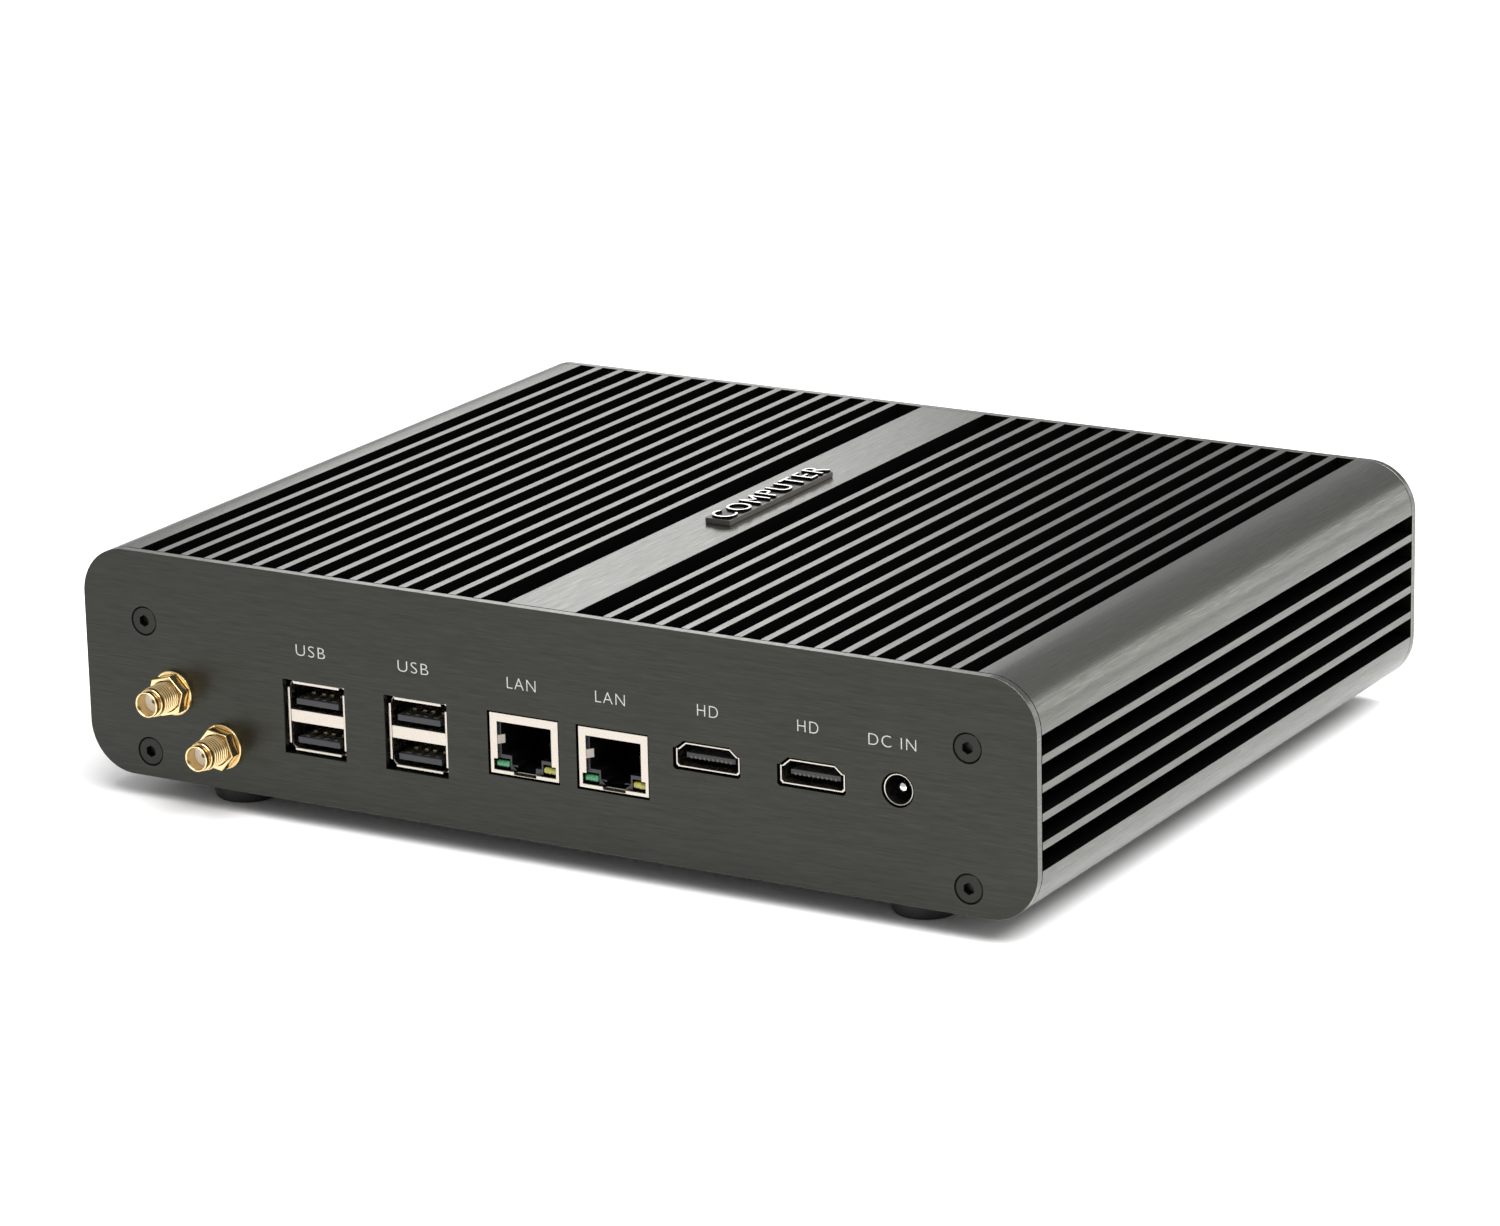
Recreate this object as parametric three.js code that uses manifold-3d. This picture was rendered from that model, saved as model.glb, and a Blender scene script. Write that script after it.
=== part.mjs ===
// Fanless mini computer in an extruded, finned aluminium case.
//
// The case is one extrusion along Y, open underneath and closed by a bottom cover and two end
// panels. The mainboard hangs upside down from two rails under the case's ceiling, so the
// processor faces the fins above it and the sockets hang from the board's underside.
// Millimetres, +Z up. The socket panel faces -Y and the control panel faces +Y. The origin is on
// the surface that the feet stand on, centred under the object's overall outline.

import * as THREE from 'three';
import { mergeVertices } from 'three/addons/utils/BufferGeometryUtils.js';
import Module from 'manifold-3d';

const wasm = await Module();
wasm.setup();

// ---------- driving dimensions ----------

const gap = 0.3; // between pieces that touch on the real object
const past = 1; // how far a cutting solid runs past the face it cuts

const caseWidth = 224;
const caseHeight = 49;
const caseLength = 174;
const cornerRadius = 10.6;
const panelThickness = 2;

const footHeight = 5;
const footTopRadius = 7.5;
const footBaseRadius = 6.8;
const footX = 81;
const footInset = 12; // from a panel's outer face to a foot's axis

const bandWidth = 16; // the plain band along the middle of the top
const wideGroove = 6.4; // the groove on each side of that band
const finPitch = 6;
const finWidth = 1.75;
const finsPerHalf = 14;
const finHeight = 9;
const ceilingThickness = 3.5;

const sideGrooves = 5;
const sidePitch = 5.8;
const sideGrooveHeight = 4.2;
const sideGrooveDepth = 6;
const sideWall = 3;

const railX = 75; // the two rails that carry the mainboard
const railWidth = 7;
const bossWidth = 10;
const upperBossHeight = 6.6;
const lowerBossHeight = 9.6;
const ledgeReach = 6.5; // the ledge inside each lower boss, which the cover is screwed to
const ledgeHeight = 3.2;

const coverThickness = 2;
const boardThickness = 1.6;
const boardUnderside = 26.4; // above the case's lowest face
const boardLeft = -80;
const boardRight = 90;
const boardLength = 170;

const panelScrewX = 96.9;
const panelScrewHeights = [5.5, 34];
const screwRadius = 1.5; // M3
const screwHole = screwRadius + gap;
const screwHead = 2.9; // radius of a countersunk head
const hexRadius = 1.16; // to a corner of the head's hexagon socket
const hexDepth = 1.3;
const boardScrewY = 72;
const coverScrewX = 89.2;
const coverScrewY = 45;

const usbX = [-54.8, -29.9];
const lanX = [-4.1, 16.9];
const displayX = [38.7, 62.4];
const inletX = 81.6;
const antennaPlaces = [[-90, 19.4], [-78, 9.4]];
const nutTurns = [15, -20]; // degrees that each antenna nut stands turned from upright
const frontUsbX = [22, 46];
const buttonX = -66;
const buttonHeight = 19.5;

const nameplateX = 0.7;
const nameplateY = 3.2;

const antennaReach = 10; // how far an antenna socket stands out of its panel
const antennaThread = 3.175;
const buttonProud = 1.2;

// ---------- places that follow from them ----------

const panelFace = caseLength / 2 + panelThickness; // outer face of a panel, from the case's middle
const grooveFloor = caseHeight - finHeight;
const ceiling = grooveFloor - ceilingThickness;
const innerWall = caseWidth / 2 - sideGrooveDepth - sideWall;
const bossEdge = innerWall - bossWidth;
const ledgeBottom = coverThickness + gap;
const boardTop = boardUnderside + boardThickness;
const railBottom = boardTop + gap;
const frameShift = (antennaReach - buttonProud) / 2;

// ---------- materials ----------

function finish(colour, roughness, metalness) {
  return new THREE.MeshStandardMaterial({ color: colour, roughness, metalness });
}

const caseMetal = finish(0x8c8e8a, 0.42, 1);
const panelMetal = finish(0x4e4f4a, 0.5, 1);
const coverMetal = finish(0x2b2c2b, 0.55, 1);
const screwSteel = finish(0x33312e, 0.45, 1);
const gold = finish(0xd8b365, 0.25, 1);
const socketSteel = finish(0xd9d5ca, 0.3, 1);
const chrome = finish(0xe6e6e6, 0.12, 1);
const blackPlastic = finish(0x121214, 0.5, 0);
const greyPlastic = finish(0x4a4b50, 0.55, 0);
const rubber = finish(0x161615, 0.85, 0);
const boardLaminate = finish(0x1e4a2c, 0.5, 0);
const lightPlastic = finish(0xdfe8f2, 0.3, 0);
const blockMetal = finish(0xb9bbbd, 0.35, 1);
const buttonMetal = finish(0x9a9c9c, 0.3, 1);
const leadJacket = finish(0x1a1a1c, 0.6, 0);

// ---------- solids and shapes ----------

// A closed geometry as a manifold-3d solid.
function solid(geometry) {
  const bare = geometry.clone();
  bare.deleteAttribute('normal');
  bare.deleteAttribute('uv');
  const merged = mergeVertices(bare, 1e-4);
  return new wasm.Manifold(new wasm.Mesh({
    numProp: 3,
    vertProperties: merged.attributes.position.array,
    triVerts: new Uint32Array(merged.index.array),
  }));
}

function geometryOf(manifold) {
  const mesh = manifold.getMesh();
  return new THREE.BufferGeometry()
    .setAttribute('position', new THREE.BufferAttribute(mesh.vertProperties, 3))
    .setIndex(new THREE.BufferAttribute(mesh.triVerts, 1));
}

function cut(geometry, ...tools) {
  return geometryOf(tools.reduce((left, tool) => left.subtract(solid(tool)), solid(geometry)));
}

function join(...geometries) {
  return geometryOf(geometries.map(solid).reduce((all, next) => all.add(next)));
}

function box([x0, x1], [y0, y1], [z0, z1]) {
  return new THREE.BoxGeometry(x1 - x0, y1 - y0, z1 - z0)
    .translate((x0 + x1) / 2, (y0 + y1) / 2, (z0 + z1) / 2);
}

// An outline drawn in X and Z, pushed along Y from y0 to y1.
function pushed(shape, y0, y1, curveSegments = 6) {
  return new THREE.ExtrudeGeometry(shape, { depth: y1 - y0, bevelEnabled: false, curveSegments })
    .rotateX(Math.PI / 2)
    .translate(0, y1, 0);
}

// A profile of [radius, height] pairs, turned round Y. Heights run upwards along the outside.
function turned(profile, segments = 16) {
  return new THREE.LatheGeometry(profile.map(([r, y]) => new THREE.Vector2(r, y)), segments);
}

function outline(points) {
  return new THREE.Shape(points.map(([x, z]) => new THREE.Vector2(x, z)));
}

function circle(x, z, radius) {
  return new THREE.Path().absarc(x, z, radius, 0, 2 * Math.PI, true);
}

function roundedRectangle(x0, x1, z0, z1, radius) {
  const shape = new THREE.Shape();
  shape.absarc(x1 - radius, z0 + radius, radius, -Math.PI / 2, 0);
  shape.absarc(x1 - radius, z1 - radius, radius, 0, Math.PI / 2);
  shape.absarc(x0 + radius, z1 - radius, radius, Math.PI / 2, Math.PI);
  shape.absarc(x0 + radius, z0 + radius, radius, Math.PI, 1.5 * Math.PI);
  return shape;
}

// ---------- the assembly ----------

const computer = new THREE.Group();
const unit = new THREE.Group(); // the case's own frame: z is 0 at its lowest face
unit.position.set(0, frameShift, footHeight);
computer.add(unit);

function add(parent, name, geometry, material, x = 0, y = 0, z = 0) {
  const mesh = new THREE.Mesh(geometry, material);
  mesh.name = name;
  mesh.position.set(x, y, z);
  parent.add(mesh);
  return mesh;
}

// A frame on a panel's outer face: local +Y runs into the case, whichever panel it is.
function onPanel(side, x, z) {
  const frame = new THREE.Group();
  frame.position.set(x, side * panelFace, z);
  frame.rotation.z = side > 0 ? Math.PI : 0;
  unit.add(frame);
  return frame;
}

// ---------- case, cover and panels ----------

// The right half of the case's section, from the lip underneath, round the outside to the middle.
function outerHalf() {
  const points = [[bossEdge - gap / 2, 0]];
  const arcSteps = 8;
  const cornerX = caseWidth / 2 - cornerRadius;
  const arc = (centreZ, from) => {
    for (let i = 0; i <= arcSteps; i += 1) {
      const angle = from + (i / arcSteps) * (Math.PI / 2);
      points.push([
        cornerX + cornerRadius * Math.cos(angle),
        centreZ + cornerRadius * Math.sin(angle),
      ]);
    }
  };
  arc(cornerRadius, -Math.PI / 2);
  for (let i = 0; i < sideGrooves; i += 1) {
    const middle = caseHeight / 2 + (i - (sideGrooves - 1) / 2) * sidePitch;
    const low = middle - sideGrooveHeight / 2;
    const high = middle + sideGrooveHeight / 2;
    const floor = caseWidth / 2 - sideGrooveDepth;
    points.push([caseWidth / 2, low], [floor, low], [floor, high], [caseWidth / 2, high]);
  }
  arc(caseHeight - cornerRadius, 0);
  const firstFin = bandWidth / 2 + wideGroove;
  for (let i = finsPerHalf; i >= 0; i -= 1) {
    const outer = firstFin + i * finPitch;
    const inner = i > 0 ? outer - finPitch + finWidth : bandWidth / 2;
    points.push([outer, caseHeight], [outer, grooveFloor], [inner, grooveFloor], [inner, caseHeight]);
  }
  return points;
}

// The same half's inside, from the middle of the ceiling down to the lip.
function innerHalf() {
  const railEdges = [railX - railWidth / 2, railX + railWidth / 2];
  return [
    [railEdges[0], ceiling],
    [railEdges[0], railBottom],
    [railEdges[1], railBottom],
    [railEdges[1], ceiling],
    [bossEdge, ceiling],
    [bossEdge, ceiling - upperBossHeight],
    [innerWall, ceiling - upperBossHeight],
    [innerWall, lowerBossHeight],
    [bossEdge, lowerBossHeight],
    [bossEdge, ledgeBottom + ledgeHeight],
    [bossEdge - ledgeReach, ledgeBottom + ledgeHeight],
    [bossEdge - ledgeReach, ledgeBottom],
    [bossEdge - gap / 2, ledgeBottom],
  ];
}

function heatsinkCase() {
  const mirror = (points) => points.map(([x, z]) => [-x, z]).reverse();
  const right = outerHalf();
  const inside = innerHalf();
  const section = outline([...right, ...mirror(right), ...mirror(inside), ...inside].reduce(
    (kept, point) => {
      const last = kept[kept.length - 1];
      const same = last && Math.hypot(last[0] - point[0], last[1] - point[1]) < 1e-3;
      return same ? kept : [...kept, point];
    },
    [],
  ));
  for (const x of [-panelScrewX, panelScrewX]) {
    for (const z of panelScrewHeights) section.holes.push(circle(x, z, screwHole));
  }
  const holes = [];
  for (const x of [-1, 1]) {
    for (const y of [-1, 1]) {
      holes.push(turned([[0, railBottom - past], [screwHole, railBottom - past],
        [screwHole, ceiling - past], [0, ceiling - past]], 12)
        .rotateX(Math.PI / 2).translate(x * railX, y * boardScrewY, 0));
      holes.push(turned([[0, 0], [screwHole, 0], [screwHole, lowerBossHeight], [0, lowerBossHeight]], 12)
        .rotateX(Math.PI / 2).translate(x * coverScrewX, y * coverScrewY, 0));
    }
  }
  return cut(pushed(section, -caseLength / 2, caseLength / 2, 3), ...holes);
}

// A countersink with its wide end at y = 0, opening towards -Y, and a clear hole behind it.
function countersink(x, z) {
  const wide = screwHead + gap;
  return turned([
    [0, -past],
    [wide + past, -past],
    [screwHole, wide - screwHole],
    [screwHole, 4],
    [0, 4],
  ], 32).translate(x, 0, z);
}

function bottomCover() {
  const halfWidth = bossEdge - gap;
  const halfLength = caseLength / 2 - gap;
  const plate = box([-halfWidth, halfWidth], [-halfLength, halfLength], [0, coverThickness]);
  const holes = [];
  for (const x of [-coverScrewX, coverScrewX]) {
    for (const y of [-coverScrewY, coverScrewY]) {
      holes.push(countersink(0, 0).rotateX(Math.PI / 2).translate(x, y, 0));
    }
  }
  return cut(plate, ...holes);
}

// An end panel with its four countersunk holes and the openings given as cutting solids. Its outer
// face is y = 0, and +Y runs inwards.
function endPanel(openings) {
  const shape = roundedRectangle(-caseWidth / 2, caseWidth / 2, 0, caseHeight, cornerRadius);
  const sinks = [];
  for (const x of [-panelScrewX, panelScrewX]) {
    for (const z of panelScrewHeights) sinks.push(countersink(x, z));
  }
  return cut(pushed(shape, 0, panelThickness - gap, 12), ...sinks, ...openings);
}

const through = [-past, panelThickness + past];

function roundOpening(x, z, radius, segments = 24) {
  const [y0, y1] = through;
  return turned([[0, y0], [radius, y0], [radius, y1], [0, y1]], segments).translate(x, 0, z);
}

const usbClearance = 0.4;
const lanClearance = 0.35;
const displayClearance = 0.45;

// The opening around a socket that hangs from the board at x, with the same clearance all round.
function socketOpening(x, halfWidth, bottom, top, clearance) {
  return box([x - halfWidth - clearance, x + halfWidth + clearance], through,
    [boardUnderside + bottom - clearance, boardUnderside + top + clearance]);
}

// ---------- fasteners ----------

// A countersunk socket screw along +Y, its head flush with y = 0.
function countersunkScrew(length) {
  const head = 0.1;
  const rim = head + 0.2; // the straight edge above the cone
  const tip = 0.4;
  const blank = turned([
    [0, head],
    [screwHead, head],
    [screwHead, rim],
    [screwRadius, rim + screwHead - screwRadius],
    [screwRadius, length - tip],
    [screwRadius - tip, length],
    [0, length],
  ], 16);
  const socket = turned([[0, -past], [hexRadius, -past], [hexRadius, hexDepth], [0, hexDepth]], 6);
  return cut(blank, socket);
}

// A pan head screw along +Z, its head under z = 0.
function panScrew(length) {
  const headHeight = 1.9;
  const headRadius = 2.75;
  const slope = 0.7;
  const slotHalf = 0.35;
  const slotReach = 1.8;
  const blank = turned([
    [0, -headHeight],
    [headRadius - slope, -headHeight],
    [headRadius, -headHeight + slope],
    [headRadius, 0],
    [screwRadius, 0],
    [screwRadius, length],
    [0, length],
  ], 12);
  const depth = [-headHeight - past, -headHeight / 2];
  const slot = box([-slotHalf, slotHalf], depth, [-slotReach, slotReach]);
  const cross = box([-slotReach, slotReach], depth, [-slotHalf, slotHalf]);
  return cut(blank, slot, cross).rotateX(Math.PI / 2);
}

// ---------- sockets, each in the frame that onPanel gives, z = 0 at the board's underside ----------

// A double-deck serial socket: its shell, and the insert that carries a tongue for each deck.
const usb = {
  halfWidth: 7.2,
  top: -0.6,
  bottom: -15.7,
  front: 0.9,
  back: 18,
  wall: 0.6,
  portHeight: 5.6,
  barDepth: 13,
  tongueFront: 1.3,
  tongueHalf: 5.2,
  tongueThick: 1.3,
  tongueLift: 1.1,
};

function usbPorts() {
  const lower = [usb.bottom + usb.wall, usb.bottom + usb.wall + usb.portHeight];
  const upper = [usb.top - usb.wall - usb.portHeight, usb.top - usb.wall];
  return [lower, upper];
}

function usbShell() {
  const inside = usb.halfWidth - usb.wall;
  const outer = box([-usb.halfWidth, usb.halfWidth], [usb.front, usb.back], [usb.bottom, usb.top]);
  const ports = usbPorts().map((z) => box([-inside, inside], [0, usb.barDepth + past], z));
  const rear = box([-inside, inside], [usb.barDepth, usb.back + past],
    [usb.bottom + usb.wall, usb.top - usb.wall]);
  return cut(outer, ...ports, rear);
}

function usbInsert(clearance) {
  const inside = usb.halfWidth - usb.wall - clearance;
  const block = box([-inside, inside], [usb.barDepth + clearance, usb.back - gap],
    [usb.bottom + usb.wall + clearance, usb.top - usb.wall - clearance]);
  const tongues = usbPorts().map(([floor]) => box([-usb.tongueHalf, usb.tongueHalf],
    [usb.tongueFront, usb.barDepth + past],
    [floor + usb.tongueLift, floor + usb.tongueLift + usb.tongueThick]));
  return join(block, ...tongues);
}

// A network socket: its shell, and the housing with the plug's cavity, which narrows twice towards
// the latch's notch below it, and a pocket for a lamp in each lower corner.
const lan = {
  halfWidth: 8.1,
  top: -0.35,
  bottom: -13.2,
  front: 0.3,
  back: 21,
  wall: 0.5,
  cavityHalf: 5.95,
  cavityTop: -2.4,
  cavityBottom: -9.3,
  cavityDepth: 15.5,
  stepHalf: 3.5,
  stepBottom: -11.2,
  latchHalf: 2.1,
  latchBottom: -12.3,
  windowHalf: 6.4,
  notchHalf: 2.65,
  lampInner: 3.9,
  lampOuter: 7.35,
  lampTop: -10.1,
  lampDepth: 4,
};

// The window in the front of a network socket's shell: the plug's opening, with a corner for each
// lamp and a notch for the plug's latch.
function lanWindow() {
  const lampBottom = lan.bottom + 0.8;
  const right = [
    [lan.windowHalf, lan.top - 1.85],
    [lan.windowHalf, lan.lampTop],
    [lan.lampOuter, lan.lampTop],
    [lan.lampOuter, lampBottom],
    [lan.notchHalf, lampBottom],
    [lan.notchHalf, lan.bottom + 0.2],
  ];
  return outline([...right, ...right.map(([x, z]) => [-x, z]).reverse()].reverse());
}

function lanShell() {
  const inside = lan.halfWidth - lan.wall;
  const outer = box([-lan.halfWidth, lan.halfWidth], [lan.front, lan.back], [lan.bottom, lan.top]);
  const hollow = box([-inside, inside], [lan.front + lan.wall, lan.back + past],
    [lan.bottom + lan.wall, lan.top - lan.wall]);
  return cut(outer, hollow, pushed(lanWindow(), 0, lan.front + lan.wall + past));
}

function lanHousing() {
  const half = lan.halfWidth - lan.wall - gap;
  const front = lan.front + lan.wall + gap;
  const bottom = lan.bottom + lan.wall + gap;
  const body = box([-half, half], [front, lan.back - gap], [bottom, lan.top - lan.wall - gap]);
  const cavity = box([-lan.cavityHalf, lan.cavityHalf], [0, lan.cavityDepth],
    [lan.cavityBottom, lan.cavityTop]);
  const step = box([-lan.stepHalf, lan.stepHalf], [0, lan.cavityDepth - 3],
    [lan.stepBottom, lan.cavityBottom + past]);
  const latch = box([-lan.latchHalf, lan.latchHalf], [0, lan.cavityDepth - 3],
    [lan.latchBottom, lan.stepBottom + past]);
  const lamps = [-1, 1].map((side) => {
    const edges = [side * lan.lampInner, side * (half + past)].sort((a, b) => a - b);
    return box(edges, [0, lan.lampDepth], [bottom - past, lan.lampTop]);
  });
  return cut(body, cavity, step, latch, ...lamps);
}

const display = {
  top: -0.4,
  bottom: -5.6,
  half: 7.25,
  front: 0.5,
  back: 11.5,
  wall: 0.3,
  shoulder: 1.45, // from the top down to where the upper corners start
  shoulderHalf: 5.05,
  blockFront: 8,
  tongueHalf: 5.6,
  tongueFront: 1.8,
  tongue: [-3.9, -2.8],
};

// The outline of a display socket: widest along its lower edge, with its upper corners cut off.
function displayOutline(inset) {
  const half = display.half - inset;
  const top = display.top - inset;
  const bottom = display.bottom + inset;
  const shoulder = display.top - display.shoulder - inset * 0.6;
  const shoulderHalf = display.shoulderHalf - inset * 0.4;
  const soften = 0.5;
  return outline([
    [-half + soften, bottom], [half - soften, bottom], [half, bottom + soften],
    [half, shoulder], [half - soften, shoulder], [shoulderHalf, top],
    [-shoulderHalf, top], [-half + soften, shoulder], [-half, shoulder], [-half, bottom + soften],
  ]);
}

function displayShell() {
  return cut(
    pushed(displayOutline(0), display.front, display.back),
    pushed(displayOutline(display.wall), 0, display.back + past),
  );
}

function displayInsert() {
  const block = pushed(displayOutline(display.wall + gap), display.blockFront, display.back - gap);
  const tongue = box([-display.tongueHalf, display.tongueHalf],
    [display.tongueFront, display.blockFront + past], display.tongue);
  return join(block, tongue);
}

// The power inlet sits in a notch in the board's edge, half of it above the board's underside.
const inlet = {
  axis: -3.1,
  front: 0.4,
  noseRadius: 3.3,
  noseBack: 3.5,
  bore: 2.95,
  boreDepth: 10,
  half: 4.5,
  back: 14,
};

function powerInlet() {
  const { front, noseRadius, noseBack } = inlet;
  const nose = turned([[0, front], [noseRadius, front], [noseRadius, noseBack], [0, noseBack]], 24)
    .translate(0, 0, inlet.axis);
  const body = box([-inlet.half, inlet.half], [panelThickness + gap, inlet.back],
    [inlet.axis - inlet.half, inlet.axis + inlet.half]);
  const bore = turned([[0, 0], [inlet.bore, 0], [inlet.bore, inlet.boreDepth], [0, inlet.boreDepth]], 24)
    .translate(0, 0, inlet.axis);
  return cut(join(nose, body), bore);
}

function inletPin() {
  const radius = 1.05;
  const foot = 1.9;
  const tip = 1.6;
  const end = inlet.boreDepth - gap;
  return turned([
    [0, tip],
    [radius * 0.67, tip + 0.2],
    [radius, tip + 0.8],
    [radius, end - 1.1],
    [foot, end - 1.1],
    [foot, end],
    [0, end],
  ], 12).translate(0, 0, inlet.axis);
}

// ---------- antenna sockets, z = 0 on their own axis ----------

const antenna = {
  lip: 2.72,
  bore: 2.35,
  boreDepth: 4.5,
  flange: 4.5,
  flangeThick: 2,
  crimp: 1.9,
  crimpEnd: 9,
  washer: 4.8,
  nutFlats: 8,
};

function antennaSocket() {
  const inner = panelThickness + gap;
  return turned([
    [0, -antennaReach + antenna.boreDepth],
    [antenna.bore, -antennaReach + antenna.boreDepth],
    [antenna.bore, -antennaReach],
    [antenna.lip, -antennaReach],
    [antenna.lip, -antennaReach + 1.1],
    [antennaThread, -antennaReach + 1.6],
    [antennaThread, inner],
    [antenna.flange, inner],
    [antenna.flange, inner + antenna.flangeThick],
    [antenna.crimp, inner + antenna.flangeThick],
    [antenna.crimp, antenna.crimpEnd],
    [0, antenna.crimpEnd],
  ], 20);
}

// A flat ring round Y, six-sided for a nut, with a round bore.
function ringRoundThread(outerRadius, sides, y0, y1) {
  const bore = antennaThread + gap;
  const body = turned([[0, y0], [outerRadius, y0], [outerRadius, y1], [0, y1]], sides);
  return cut(body, turned([[0, y0 - past], [bore, y0 - past], [bore, y1 + past], [0, y1 + past]], 20));
}

// ---------- button, its ring and the switch behind it, z = 0 on the button's axis ----------

const button = {
  radius: 5,
  flange: 5.9,
  flangeAt: 5.6,
  stem: 1.6,
  stemEnd: 9.2,
  ringBore: 5.3,
  ringSleeve: 6.2,
  ringFlange: 7.6,
};

function powerButton() {
  return turned([
    [0, -buttonProud],
    [button.radius - 0.4, -buttonProud],
    [button.radius, -buttonProud + 0.4],
    [button.radius, button.flangeAt],
    [button.flange, button.flangeAt],
    [button.flange, button.flangeAt + 1],
    [button.stem, button.flangeAt + 1],
    [button.stem, button.stemEnd],
    [0, button.stemEnd],
  ], 24);
}

function buttonRing() {
  return turned([
    [button.ringBore, -1],
    [button.ringFlange - 0.4, -1],
    [button.ringFlange, -0.6],
    [button.ringFlange, -gap],
    [button.ringSleeve, -gap],
    [button.ringSleeve, 5.2],
    [button.ringBore, 5.2],
    [button.ringBore, -1],
  ], 24);
}

// ---------- boards and what they carry ----------

function mainboard() {
  const plate = box([boardLeft, boardRight], [-boardLength / 2, boardLength / 2],
    [boardUnderside, boardTop]);
  const notchHalf = inlet.half + gap;
  const notch = box([inletX - notchHalf, inletX + notchHalf],
    [-panelFace, -panelFace + inlet.back + gap], [boardUnderside - past, boardTop + past]);
  const holes = [notch];
  for (const x of [-railX, railX]) {
    for (const y of [-boardScrewY, boardScrewY]) {
      holes.push(turned([[0, boardUnderside - past], [screwHole, boardUnderside - past],
        [screwHole, boardTop + past], [0, boardTop + past]], 12).rotateX(Math.PI / 2).translate(x, y, 0));
    }
  }
  return cut(plate, ...holes);
}

// A small card under the mainboard: a laminate with its chips, and the socket block at its -Y end.
function card(length, chips) {
  const width = 22;
  const low = -3.4;
  const thick = 0.8;
  const chipLow = low - 1.2;
  const laminate = box([-width / 2, width / 2], [0, length], [low, low + thick]);
  const socket = box([-width / 2, width / 2], [-3, 2], [low - 1, -gap]);
  const packages = chips.map(([x, y, w, l]) => box([x - w / 2, x + w / 2], [y - l / 2, y + l / 2],
    [chipLow, low + thick / 2]));
  return join(laminate, socket, ...packages);
}

const memory = { width: 67.6, length: 30, middle: -3.5, thick: 1.2 };

function memorySocket() {
  const half = memory.width / 2 + 2.6;
  const bar = box([-half, half], [-4, 2.5], [-5.6, -gap]);
  const arms = [-1, 1].map((side) => box(
    side < 0 ? [-half, -memory.width / 2 - gap] : [memory.width / 2 + gap, half], [0, 26], [-5, -1.4]));
  const slot = box([-memory.width / 2 - gap, memory.width / 2 + gap], [-1, 2.5 + past],
    [memory.middle - memory.thick / 2 - gap, memory.middle + memory.thick / 2 + gap]);
  return cut(join(bar, ...arms), slot);
}

function memoryModule() {
  const half = memory.width / 2;
  const laminate = box([-half, half], [-1 + gap, memory.length],
    [memory.middle - memory.thick / 2, memory.middle + memory.thick / 2]);
  const chips = [-24, -8, 8, 24].map((x) => box([x - 5.5, x + 5.5], [10, 24],
    [memory.middle - memory.thick / 2 - 1, memory.middle]));
  return join(laminate, ...chips);
}

// A thin lead along a smooth line through points, with a section of eight sides.
function lead(points, radius, steps) {
  const path = new THREE.CatmullRomCurve3(points.map((p) => new THREE.Vector3(...p)));
  const section = [];
  for (let i = 0; i < 8; i += 1) {
    const angle = (i / 8) * 2 * Math.PI;
    section.push([radius * Math.cos(angle), radius * Math.sin(angle)]);
  }
  return new THREE.ExtrudeGeometry(outline(section), { steps, extrudePath: path });
}

// ---------- nameplate ----------

// A raised block stands in for each letter.
function nameplate() {
  const length = 44;
  const half = 3;
  const baseHeight = 1.2;
  const height = 1.8;
  const margin = 0.4;
  const blockCount = 8;
  const pitch = length / blockCount;
  const blockHalf = pitch / 2 - margin;
  const base = box([-half, half], [-length / 2, length / 2], [0, baseHeight]);
  const blocks = [];
  for (let i = 0; i < blockCount; i += 1) {
    const middle = (i - (blockCount - 1) / 2) * pitch;
    blocks.push(box([-half + margin, half - margin], [middle - blockHalf, middle + blockHalf],
      [baseHeight / 2, height]));
  }
  return join(base, ...blocks);
}

// ---------- putting it together ----------

add(unit, 'heatsink_case', heatsinkCase(), caseMetal);
add(unit, 'bottom_cover', bottomCover(), coverMetal);
add(unit, 'nameplate', nameplate(), chrome, nameplateX, nameplateY, caseHeight + gap);

const ioOpenings = [
  ...usbX.map((x) => socketOpening(x, usb.halfWidth, usb.bottom, usb.top, usbClearance)),
  ...lanX.map((x) => socketOpening(x, lan.halfWidth, lan.bottom, lan.top, lanClearance)),
  ...displayX.map((x) => pushed(displayOutline(-displayClearance), ...through)
    .translate(x, 0, boardUnderside)),
  roundOpening(inletX, boardUnderside + inlet.axis, inlet.noseRadius + gap),
  ...antennaPlaces.map(([x, z]) => roundOpening(x, z, antennaThread + gap)),
];
add(onPanel(-1, 0, 0), 'io_panel', endPanel(ioOpenings), panelMetal);

const controlOpenings = [
  ...frontUsbX.map((x) => socketOpening(-x, usb.halfWidth, usb.bottom, usb.top, usbClearance)),
  roundOpening(-buttonX, buttonHeight, button.ringSleeve + gap),
];
add(onPanel(1, 0, 0), 'control_panel', endPanel(controlOpenings), panelMetal);

[['io', -1], ['control', 1]].forEach(([panel, side]) => {
  let number = 1;
  for (const x of [-panelScrewX, panelScrewX]) {
    for (const z of panelScrewHeights) {
      add(onPanel(side, x, z), `${panel}_panel_screw_${number}`, countersunkScrew(10), screwSteel);
      number += 1;
    }
  }
});

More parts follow.
